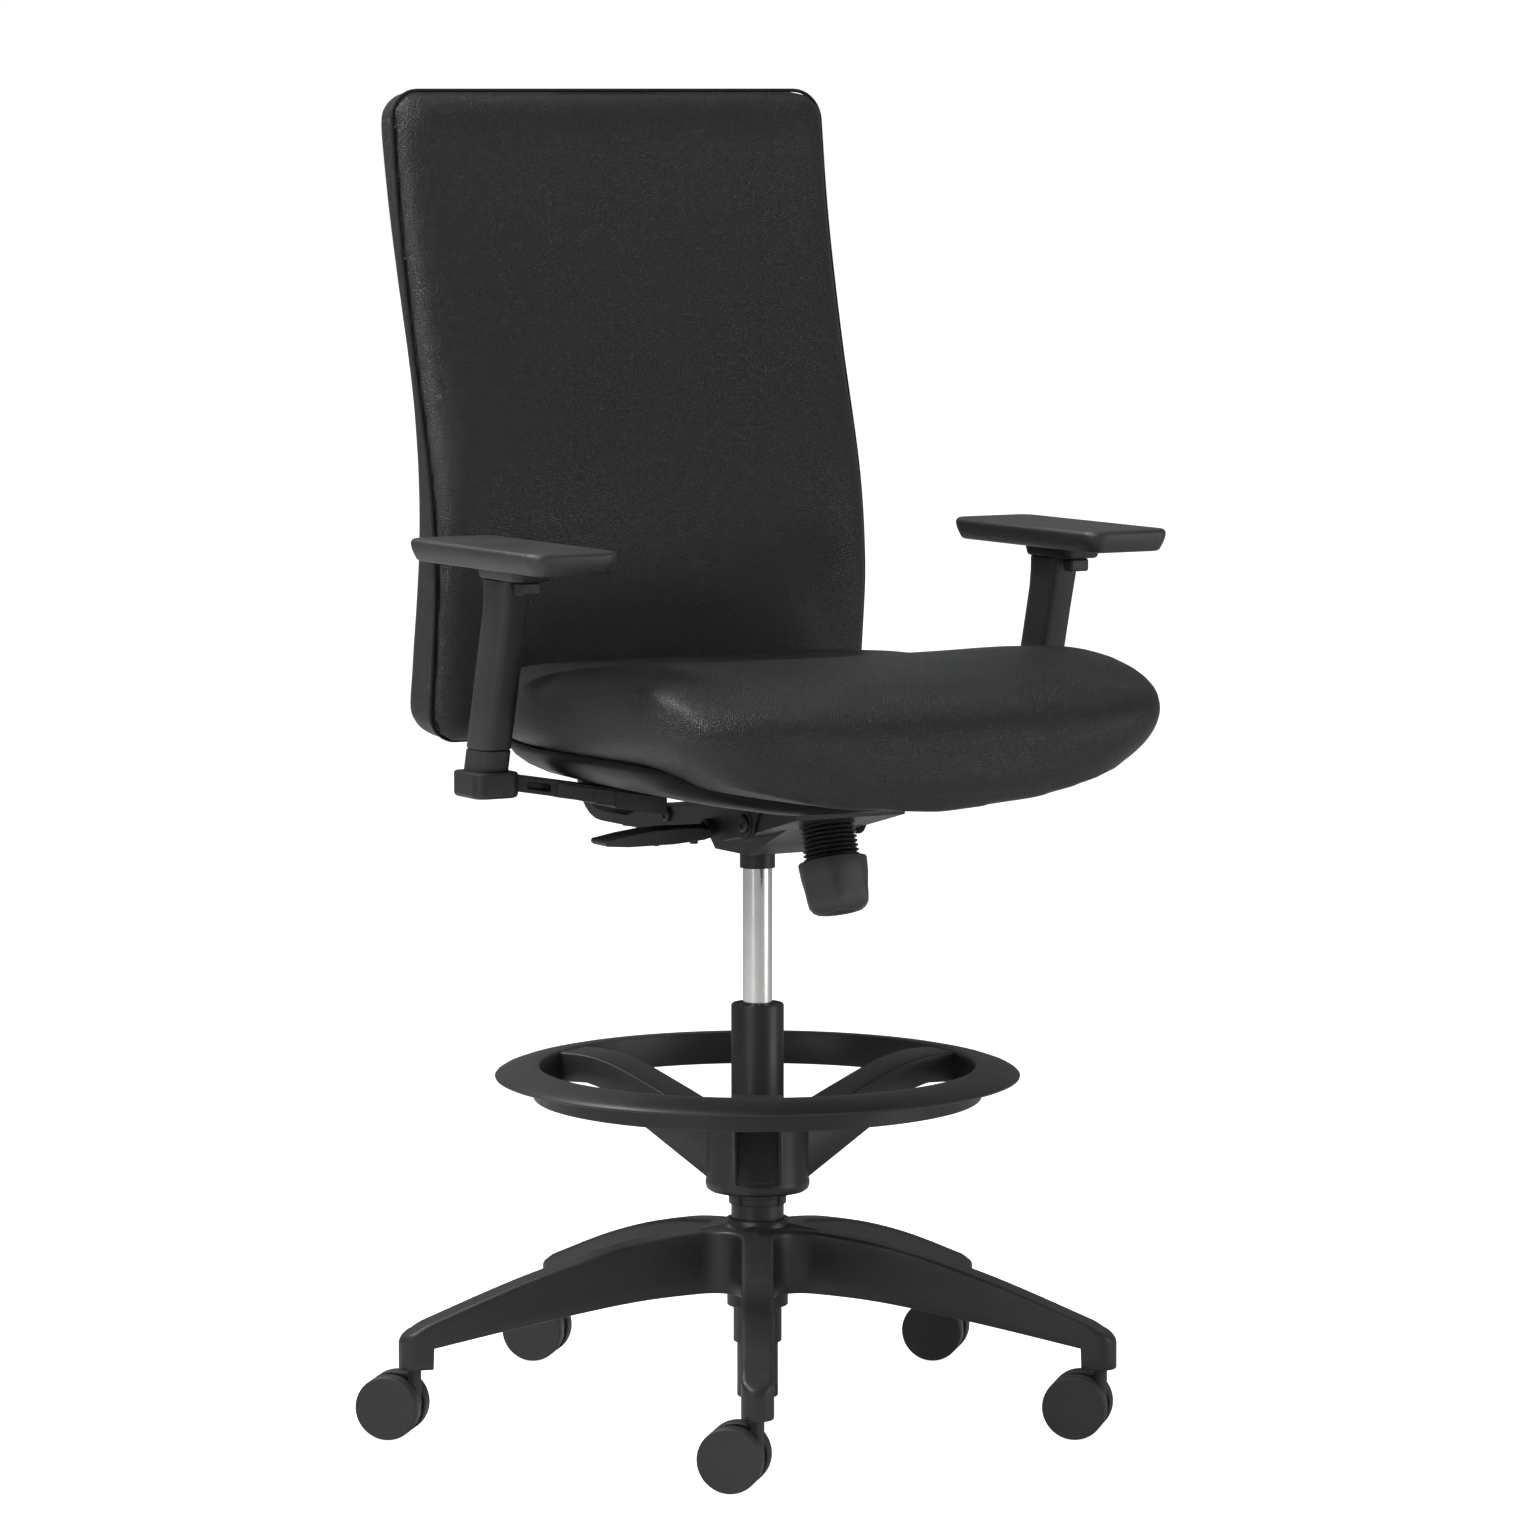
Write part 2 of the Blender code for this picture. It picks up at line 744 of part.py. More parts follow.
# ---------------------------------------------------------------- foot ring
def foot_ring():
    edge = RING_TOP - RING_EDGE_DROP
    mid = (RING_R + RING_INNER_R) / 2
    skirt_out = RING_INNER_R + RING_SKIRT
    ring = turned(
        "foot_ring",
        [
            (RING_INNER_R, RING_TOP - 0.0015),
            (RING_INNER_R + 0.002, RING_TOP),
            (mid, RING_TOP - 0.001),
            (RING_R - 0.006, edge + 0.0015),
            (RING_R, edge - 0.002),
            (RING_R - 0.001, edge - 0.006),
            (RING_R - 0.005, edge - 0.006),
            (mid, RING_TOP - RING_PLATE),
            (skirt_out, RING_TOP - RING_PLATE),
            (skirt_out, RING_SKIRT_END),
            (RING_INNER_R, RING_SKIRT_END),
        ],
        BLACK_NYLON,
        ring_body,
        steps=48,
    )
    bore = TUBE_R + GAP
    hub = turned(
        "ring_hub",
        [
            (bore, RING_HUB_TOP),
            (RING_HUB_R - 0.006, RING_HUB_TOP),
            (RING_HUB_R, RING_HUB_TOP - 0.010),
            (RING_HUB_R, RING_HUB_END + 0.005),
            (RING_HUB_R - 0.004, RING_HUB_END),
            (bore, RING_HUB_END),
        ],
        None,
        ring_body,
    )
    join(ring, hub)
    half = SPOKE_WIDTH / 2
    reach = RING_INNER_R + RING_SKIRT / 2
    top_line = [
        (0.030, RING_HUB_TOP - 0.006),
        (0.050, RING_HUB_TOP - 0.005),
        (0.088, 0.303),
        (0.140, 0.325),
        (0.172, 0.3335),
        (reach, RING_TOP - 0.0025),
    ]
    under_line = [(reach, RING_SKIRT_END + 0.0015), (0.160, 0.304), (0.117, 0.274), (0.030, 0.2205)]
    channels = []
    for k in range(SPOKE_COUNT):
        turn = azimuth(FIRST_LEG + 2 * pi * k / SPOKE_COUNT)
        outline = [(-r, z) for r, z in top_line + under_line]
        spoke = side_plate(f"spoke_{k}", outline[::-1], -half, half)
        apply_matrix(spoke, turn)
        hold(spoke, ring_body)
        join(ring, spoke)
        inside = [(-r, z - SPOKE_WALL) for r, z in top_line if RING_HUB_R < r < reach]
        inside = [(-RING_HUB_R - 0.003, RING_HUB_TOP - 0.005 - SPOKE_WALL)] + inside
        inside += [(-0.186, RING_TOP - 0.003 - SPOKE_WALL), (-0.186, 0.18)]
        inside += [(-RING_HUB_R - 0.003, 0.18)]
        channel = side_plate(f"spoke_channel_{k}", inside[::-1], SPOKE_WALL - half, half - SPOKE_WALL)
        apply_matrix(channel, turn)
        hold(channel, ring_body)
        channels.append(channel)
    cut(ring, *channels)

    collet = turned(
        "ring_collet",
        [
            (COLLET_R, RING_HUB_END - GAP),
            (COLLET_R, COLLET_END),
            (bore, COLLET_END),
            (bore, RING_HUB_END - GAP),
        ],
        BLACK_PLASTIC,
        ring_body,
    )
    for k in range(4):
        tab = block(
            f"collet_tab_{k}", (0.005, 0.004, 0.0125), (0, -COLLET_R - 0.0005, COLLET_END + 0.0055)
        )
        apply_matrix(tab, azimuth(radians(20) + k * pi / 2))
        hold(tab, ring_body)
        join(collet, tab)


# ---------------------------------------------------------------- tilt mechanism
def along_knob(distance):
    """A point on the knob's leaning axis, above the knob's middle."""
    return Vector((0, KNOB_AT[0] + distance * sin(KNOB_LEAN), KNOB_AT[1] + distance * cos(KNOB_LEAN)))


def knob_place():
    return Matrix.Translation((0, *KNOB_AT)) @ Matrix.Rotation(-KNOB_LEAN, 4, "X")


def mechanism():
    half = CHASSIS_HALF
    wall = CHASSIS_WALL
    fall_from = MAIN_PIVOT[0] + 0.020
    outline = [
        (CHASSIS_FRONT, CHASSIS_TOP),
        (CHASSIS_FRONT, CHASSIS_TOP - 0.006),
        (-0.086, CHASSIS_FLOOR + 0.0105),
        (-0.035, CHASSIS_FLOOR),
        (0.062, CHASSIS_FLOOR),
        (CHASSIS_REAR, CHASSIS_FLOOR - 0.005),
        (CHASSIS_REAR + 0.002, CHASSIS_FLOOR + 0.003),
        (0.118, CHASSIS_TOP - (0.118 - fall_from) * tan(CHASSIS_FALL)),
        (fall_from, CHASSIS_TOP),
    ]
    housing = side_plate("mechanism_housing", outline, -half, half, BLACK_STEEL, lift)
    inside = [
        (CHASSIS_FRONT + wall, CHASSIS_TOP + 0.02),
        (CHASSIS_FRONT + wall, CHASSIS_TOP - 0.0025),
        (-0.085, CHASSIS_FLOOR + 0.0105 + wall),
        (-0.034, CHASSIS_FLOOR + wall),
        (0.052, CHASSIS_FLOOR + wall),
        (0.052, CHASSIS_FLOOR - 0.03),
        (CHASSIS_REAR + 0.02, CHASSIS_FLOOR - 0.03),
        (CHASSIS_REAR + 0.02, CHASSIS_TOP + 0.02),
    ]
    hollow = side_plate("housing_hollow", inside, wall - half, half - wall, None, lift)

    # narrow trough round the column, with a sloping front
    keel_outline = [
        (-0.150, CHASSIS_TOP - 0.004),
        (-0.062, TROUGH_FLOOR + 0.012),
        (-0.038, TROUGH_FLOOR),
        (0.028, TROUGH_FLOOR),
        (0.038, TROUGH_FLOOR + 0.010),
        (0.038, CHASSIS_FLOOR + 0.001),
        (-0.040, CHASSIS_FLOOR + 0.001),
        (-0.110, CHASSIS_TOP - 0.010),
    ]
    keel = side_plate("housing_keel", keel_outline, -TROUGH_HALF, TROUGH_HALF, None, lift)
    keel_inside = [
        (-0.100, CHASSIS_TOP - 0.004),
        (-0.059, TROUGH_FLOOR + 0.012 + wall),
        (-0.037, TROUGH_FLOOR + wall),
        (0.026, TROUGH_FLOOR + wall),
        (0.034, TROUGH_FLOOR + 0.010 + wall),
        (0.034, CHASSIS_TOP - 0.004),
    ]
    keel_hollow = side_plate(
        "keel_hollow", keel_inside, wall - TROUGH_HALF, TROUGH_HALF - wall, None, lift
    )
    neck = rod(
        "housing_neck", TAPER_BUSH_R - 0.001, (0, 0, 0.5), (0, 0, TROUGH_FLOOR + 0.01), None, lift, 24
    )
    socket = turned(
        "taper_socket",
        [
            (CYLINDER_R + GAP + 0.003, CYLINDER_TOP + 0.004),
            (TAPER_BUSH_R + 0.004, CYLINDER_TOP + 0.002),
            (TAPER_BUSH_R + 0.004, TROUGH_FLOOR + wall / 2),
            (TAPER_BUSH_R, TROUGH_FLOOR + wall / 2),
            (TAPER_BUSH_R, TAPER_BUSH_END),
            (CYLINDER_R + GAP, TAPER_BUSH_END),
            (CYLINDER_R + GAP, CYLINDER_TOP + 0.004),
        ],
        None,
        lift,
    )
    main_bore = rod(
        "housing_main_bore", MAIN_PIVOT_R + GAP, (-0.1, *MAIN_PIVOT), (0.1, *MAIN_PIVOT), None, lift
    )
    rear_bore = rod(
        "housing_rear_bore", REAR_PIVOT_R + GAP, (-0.1, *REAR_PIVOT), (0.1, *REAR_PIVOT), None, lift
    )
    lever_bore = rod(
        "housing_lever_bore",
        LEVER_ROD_R + 0.0008,
        (-half - 0.01, lever_y(-half - 0.01), LEVER_Z),
        (-half + 0.01, lever_y(-half + 0.01), LEVER_Z),
        None,
        lift,
    )
    post_bore = rod(
        "housing_post_bore",
        POST_R + GAP,
        along_knob(0.0),
        along_knob(0.10),
        None,
        lift,
        24,
    )
    cut(housing, hollow)
    join(housing, keel)
    cut(housing, keel_hollow, neck)
    join(housing, socket)
    cut(housing, lever_bore, post_bore, main_bore, rear_bore)

    ear_out = half + GAP + SEAT_PLATE_T
    for name, at, radius, head_r, out in (
        ("main_pivot_shaft", MAIN_PIVOT, MAIN_PIVOT_R, 0.0085, ear_out + GAP),
        ("rear_pivot_shaft", REAR_PIVOT, REAR_PIVOT_R, 0.0070, half + GAP),
    ):
        shaft = turned(
            name,
            [
                (0.0, out + 0.0035),
                (head_r - 0.002, out + 0.0035),
                (head_r, out + 0.002),
                (head_r, out),
                (radius, out),
                (radius, -out),
                (head_r, -out),
                (head_r, -out - 0.002),
                (head_r - 0.002, -out - 0.0035),
                (0.0, -out - 0.0035),
            ],
            BLACK_STEEL,
            None,
            steps=16,
            place=Matrix.Translation((0, *at)) @ Matrix.Rotation(pi / 2, 4, "Y"),
        )
        hold(shaft, lift)


def lever_y(x):
    """The lever's rod slants from the column's axis to the paddle's middle."""
    return PADDLE_Y * min(max(-x / -PADDLE_IN, 0.0), 1.0)


def tension_control():
    # ridged post: a stack of sharp ridges, fixed in the housing, with its foot in the knob
    foot = KNOB_HEIGHT / 2 - 0.008
    top = foot + 0.008 + POST_RIDGES * POST_PITCH + 0.006
    outer = [(POST_R, top), (POST_R, foot + 0.008 + POST_RIDGES * POST_PITCH)]
    for i in range(POST_RIDGES):
        crest = foot + 0.008 + (POST_RIDGES - i - 0.5) * POST_PITCH
        outer += [(POST_ROOT_R, crest + POST_PITCH * 0.42), (POST_R, crest)]
    outer += [(POST_ROOT_R, foot + 0.008 + GAP), (POST_ROOT_R, foot + GAP)]
    inner = [(POST_ROOT_R - 0.004, foot + GAP), (POST_ROOT_R - 0.004, top)]
    post = turned("tension_post", outer + inner, BLACK_PLASTIC, None, 20, knob_place())
    hold(post, lift)

    low, high = -KNOB_HEIGHT / 2, KNOB_HEIGHT / 2
    knob = turned(
        "tension_knob",
        [
            (POST_ROOT_R + GAP, high),
            (KNOB_R - 0.002, high),
            (KNOB_R, high - 0.002),
            (KNOB_R - 0.001, low + 0.014),
            (KNOB_R - 0.005, low + 0.005),
            (KNOB_R - 0.012, low),
            (0.009, low + 0.001),
            (0.007, low + 0.004),
            (0.0, low + 0.004),
            (0.0, foot + 0.002),
            (0.005 + GAP, foot + 0.002),
            (0.005 + GAP, foot - 0.010),
            (0.012, foot - 0.010),
            (0.012, foot),
            (POST_ROOT_R + GAP, foot),
        ],
        BLACK_PLASTIC,
        None,
        20,
        knob_place(),
    )
    hold(knob, knob_body)


def tension_spring():
    """Coil spring round the pull rod, inside the ridged post."""
    wire = 0.0018
    coil_r = POST_ROOT_R - 0.004 - wire - 0.0005
    turns = 4
    low = KNOB_HEIGHT / 2 + 0.001
    high = KNOB_HEIGHT / 2 + POST_RIDGES * POST_PITCH
    curve = bpy.data.curves.new("tension_spring", "CURVE")
    curve.dimensions = "3D"
    curve.bevel_depth = wire
    curve.bevel_resolution = 2
    curve.use_fill_caps = True
    spline = curve.splines.new("POLY")
    count = turns * 8
    spline.points.add(count)
    for i, point in enumerate(spline.points):
        angle = 2 * pi * turns * i / count
        point.co = (coil_r * cos(angle), coil_r * sin(angle), low + (high - low) * i / count, 1)
    curve.materials.append(BRIGHT_STEEL)
    drawn = bpy.data.objects.new("tension_spring", curve)
    chair.objects.link(drawn)
    spring = solidified(drawn)
    apply_matrix(spring, knob_place())
    hold(spring, lift)


def height_lever():
    curve = bpy.data.curves.new("lever_rod", "CURVE")
    curve.dimensions = "3D"
    curve.bevel_depth = LEVER_ROD_R
    curve.bevel_resolution = 3
    curve.use_fill_caps = True
    spline = curve.splines.new("POLY")
    stops = [0.006, -CHASSIS_HALF, PADDLE_IN, (PADDLE_IN + PADDLE_OUT) / 2]
    spline.points.add(len(stops) - 1)
    for point, x in zip(spline.points, stops):
        point.co = (x, lever_y(x), LEVER_Z, 1)
    curve.materials.append(BLACK_STEEL)
    drawn = bpy.data.objects.new("lever_rod", curve)
    chair.objects.link(drawn)
    hold(solidified(drawn), lever_body)

    length = PADDLE_IN - PADDLE_OUT
    outline = [
        (PADDLE_IN, LEVER_Z - 0.0020),
        (PADDLE_IN - 0.10 * length, LEVER_Z + 0.0015),
        (PADDLE_IN - 0.55 * length, LEVER_Z + 0.0010),
        (PADDLE_OUT + 0.012, LEVER_Z - 0.0045),
        (PADDLE_OUT, LEVER_Z - 0.0065),
        (PADDLE_OUT + 0.001, LEVER_Z - 0.0088),
        (PADDLE_OUT + 0.026, LEVER_Z - 0.0110),
        (PADDLE_IN - 0.35 * length, LEVER_Z - 0.0100),
        (PADDLE_IN - 0.008, LEVER_Z - 0.0090),
        (PADDLE_IN, LEVER_Z - 0.0065),
    ]
    half = PADDLE_WIDTH / 2
    paddle = front_plate(
        "lever_paddle", outline[::-1], PADDLE_Y - half, PADDLE_Y + half, BLACK_PLASTIC, lever_body
    )
    round_edges(paddle, 0.0022, 2)
    rib = rod(
        "paddle_rib",
        LEVER_ROD_R + 0.0024,
        (PADDLE_IN, PADDLE_Y, LEVER_Z),
        ((PADDLE_IN + PADDLE_OUT) / 2 - 0.004, PADDLE_Y, LEVER_Z),
        None,
        lever_body,
        16,
    )
    join(paddle, rib)
    bore = rod(
        "paddle_bore",
        LEVER_ROD_R + GAP,
        (PADDLE_IN + 0.01, PADDLE_Y, LEVER_Z),
        ((PADDLE_IN + PADDLE_OUT) / 2 - GAP, PADDLE_Y, LEVER_Z),
        None,
        lever_body,
        16,
    )
    for i, (x, radius) in enumerate(((-0.078, 0.004), (-0.118, 0.0028))):
        stud = rod(
            f"paddle_stud_{i}",
            radius,
            (x, PADDLE_Y, LEVER_Z - 0.0145),
            (x, PADDLE_Y, LEVER_Z - 0.0070),
            None,
            lever_body,
            12,
        )
        join(paddle, stud)
    cut(paddle, bore)


# ---------------------------------------------------------------- seat
def pan_under(x):
    """Height of the pan's underside at a distance from the middle: flat, then rising."""
    rise = max(abs(x) - BAR_IN + 0.010, 0.0) * tan(BAR_SLOPE)
    return SEAT_PLATE_Z + SEAT_PLATE_T + GAP + rise


def seat_outline(scale, count=32):
    """Plan of the seat: square-shouldered at the back, with a wide round front."""
    middle_y = (SEAT_FRONT + SEAT_REAR) / 2
    half_y = (SEAT_REAR - SEAT_FRONT) / 2
    points = []
    for i in range(count):
        angle = 2 * pi * i / count
        c, s = cos(angle), sin(angle)
        power = 7.0 if s < 0 else 3.6
        x = SEAT_HALF * abs(c) ** (2 / power) * (1 if c > 0 else -1)
        y = half_y * abs(s) ** (2 / power) * (1 if s > 0 else -1)
        taper = 1 - 0.05 * max(y / half_y, 0.0)
        points.append((x * scale * taper, middle_y + y * scale))
    return points


def seat_drop(x, y):
    """How far the seat's lower edge falls: an arch across its front."""
    share = min(max((-y - 0.12) / 0.20, 0.0), 1.0)
    arch = max(1 - abs(x / 0.235) ** 2.6, 0.0)
    return (SEAT_SIDE_UNDER - SEAT_FRONT_UNDER) * arch * share * share * (3 - 2 * share)


def seat_crown(y):
    """Height of the seat's top: it dips towards the back."""
    share = min(max((y + 0.18) / 0.26, 0.0), 1.0)
    return SEAT_TOP - SEAT_REAR_DIP * share * share * (3 - 2 * share)


def seat():
    plate_top = SEAT_PLATE_Z + SEAT_PLATE_T
    half = SEAT_PLATE_HALF
    sheet = block(
        "seat_plate",
        (2 * half, 0.305, SEAT_PLATE_T),
        (0, -0.0225, SEAT_PLATE_Z + SEAT_PLATE_T / 2),
        BLACK_STEEL,
        seat_body,
    )
    ear_in = CHASSIS_HALF + GAP
    ear_out = ear_in + SEAT_PLATE_T
    y, z = MAIN_PIVOT
    ear_r = 0.0165
    ear = arc((y, z), ear_r, pi, 2 * pi, 13)
    ear += [(y + 0.030, SEAT_PLATE_Z + SEAT_PLATE_T / 2), (y - 0.030, SEAT_PLATE_Z + SEAT_PLATE_T / 2)]
    for side, tag in ((-1, "right"), (1, "left")):
        low, high = sorted((side * ear_in, side * ear_out))
        lug = side_plate(f"seat_lug_{tag}", ear, low, high, None, seat_body)
        join(sheet, lug)
    bore = rod(
        "seat_lug_bore", MAIN_PIVOT_R + GAP, (-0.1, *MAIN_PIVOT), (0.1, *MAIN_PIVOT), None, seat_body
    )
    cut(sheet, bore)

    # pan: a moulded shroud that dishes up at the sides to clear the arm bars
    rings = []
    for level, scale in ((0, 0.50), (0, 0.78), (0, 0.87), (1, 0.88), (1, 0.78), (1, 0.50)):
        ring = [(x, y, pan_under(x) + level * PAN_T) for x, y in seat_outline(scale)]
        rings.append(ring)
    pan = loft("seat_pan", rings, BLACK_PLASTIC, seat_body)

    # cushion: rings from its crown down its side and in under it, as the pan's rings run
    top_of_pan = PAN_T + GAP
    sections = [
        (0.250, 0.945),
        (0.550, 0.960),
        (0.850, 0.985),
        (0.935, 0.92),
        (0.985, 0.77),
        (1.000, 0.57),
        (0.994, 0.34),
        (0.970, 0.13),
        (0.905, None),
        (0.88, None),
        (0.78, None),
        (0.50, None),
    ]
    rings = []
    for scale, share in sections:
        ring = []
        for x, y in seat_outline(scale):
            floor = pan_under(x) + top_of_pan
            if share is None:
                z = floor
            else:
                low = SEAT_SIDE_UNDER - seat_drop(x, y)
                z = low + share * (seat_crown(y) - low)
            ring.append((x, y, z))
        rings.append(ring)
    loft("seat_cushion", rings, VINYL, seat_body)


# ---------------------------------------------------------------- back
def back_line(z):
    """Depth of the seam between the back's two shells, an S seen from the side."""
    keys = [
        (BACK_END, 0.216),
        (0.72, 0.206),
        (0.79, 0.201),
        (0.88, 0.211),
        (1.01, 0.246),
        (1.13, 0.273),
        (BACK_TOP, 0.290),
    ]
    return smooth_between(keys, z)


def back_depth(z):
    """Depth of the rear shell: thick at the small of the back, thinner above."""
    keys = [
        (BACK_END, 0.062),
        (0.75, 0.064),
        (0.86, 0.050),
        (0.97, 0.036),
        (1.06, 0.038),
        (BACK_TOP, 0.046),
    ]
    return smooth_between(keys, z)


def back_levels():
    """Heights of the slices between the back's round corners."""
    span = BACK_TOP - BACK_END - 2 * BACK_CORNER
    return [BACK_END + BACK_CORNER + span * i / 9 for i in range(10)]


def back_section(z, depth, inset, sign):
    """A level slice of one shell: flat on the seam, rounded on its outer side."""
    half = BACK_HALF - inset
    line = back_line(z)
    r = min(0.020, depth * 0.75)
    outer = []
    for i in range(4):
        angle = pi / 2 * i / 3
        outer.append((half - r + r * cos(angle), depth - r + r * sin(angle)))
    right = [(half, 0.0)] + outer
    left = [(-x, d) for x, d in right[::-1]]
    middle = [(x, depth) for x in (half / 2, 0.0, -half / 2)]
    return [(x, line + sign * (d + GAP / 2), z) for x, d in right + middle + left]


def back_shell(name, depth_at, sign, material):
    """Loft one shell of the back from its lower edge to its top edge."""
    rings = []
    stations = [(0.0, 0.55), (0.006, 0.82), (0.018, 0.97), (BACK_CORNER, 1.0)]
    for distance, share in stations:
        rings.append((BACK_END + distance, share, distance))
    rings += [(z, 1.0, BACK_CORNER) for z in back_levels()[1:-1]]
    for distance, share in stations[::-1]:
        rings.append((BACK_TOP - distance, share, distance))
    slices = []
    for z, share, distance in rings:
        gap = BACK_CORNER - min(distance, BACK_CORNER)
        inset = BACK_CORNER - sqrt(max(BACK_CORNER**2 - gap**2, 0.0))
        slices.append(back_section(z, depth_at(z) * share, inset, sign))
    return loft(name, slices, material, back_body)


def back():
    back_shell("back_cushion", lambda z: BACK_FRONT_T, -1, VINYL)
    back_shell("back_panel", back_depth, 1, VINYL)

    # bracket: a root on the rear pivot, a bar that runs back and a flat that rises
    levels = [z for z in back_levels() if z <= BRACKET_TOP][::-1] + [BACK_END]
    rear = [(back_line(z) + back_depth(z) + 2 * GAP, z) for z in levels]
    bottom = 0.547
    bend = 0.048
    y_in = rear[-1][0]
    outline = rear + [(y_in, bottom + bend)]
    outline += arc((y_in - bend + BRACKET_T, bottom + bend), bend - BRACKET_T, 0, -pi / 2, 6)[1:]
    outline += [(REAR_PIVOT[0] + 0.030, bottom + BRACKET_T), (REAR_PIVOT[0] + 0.030, bottom)]
    outline += arc((y_in - bend + BRACKET_T, bottom + bend), bend, -pi / 2, 0, 8)
    outline += [(y + BRACKET_T, z) for y, z in rear[::-1]]
    bracket = side_plate(
        "back_bracket", outline, -BRACKET_HALF, BRACKET_HALF, BLACK_STEEL, back_body
    )
    y, z = REAR_PIVOT
    root_half = CHASSIS_HALF - CHASSIS_WALL - 0.0008
    root_outline = [
        (y - 0.014, z - 0.010),
        (y + 0.030, bottom + 0.004),
        (y + 0.065, bottom + BRACKET_T - 0.001),
        (y + 0.045, z),
        (y + 0.026, z + 0.0075),
        (y - 0.009, z + 0.0075),
        (y - 0.014, z + 0.002),
    ]
    root = side_plate("bracket_root", root_outline, -root_half, root_half, None, back_body)
    bore = rod(
        "bracket_bore", REAR_PIVOT_R + GAP, (-0.1, *REAR_PIVOT), (0.1, *REAR_PIVOT), None, back_body
    )
    join(bracket, root)
    cut(bracket, bore)


# ---------------------------------------------------------------- arms
def post_point(z, side):
    """Middle of the leaning post at a height."""
    return Vector((side * ARM_X, ARM_FOOT_Y - (z - ARM_BLOCK[1]) * tan(ARM_LEAN), z))


def oval(half_x, half_y, count=16):
    return [
        (half_x * cos(2 * pi * i / count), half_y * sin(2 * pi * i / count)) for i in range(count)
    ]


def leaning(name, half_x, half_y, low, high, side, material=None, body=None):
    """An oval bar along the leaning post, with level ends."""
    rings = []
    for z in (low, high):
        middle = post_point(z, side)
        rings.append([(middle.x + x, middle.y + y, z) for x, y in oval(half_x, half_y)])
    return loft(name, rings, material, body, flat_ends=True)


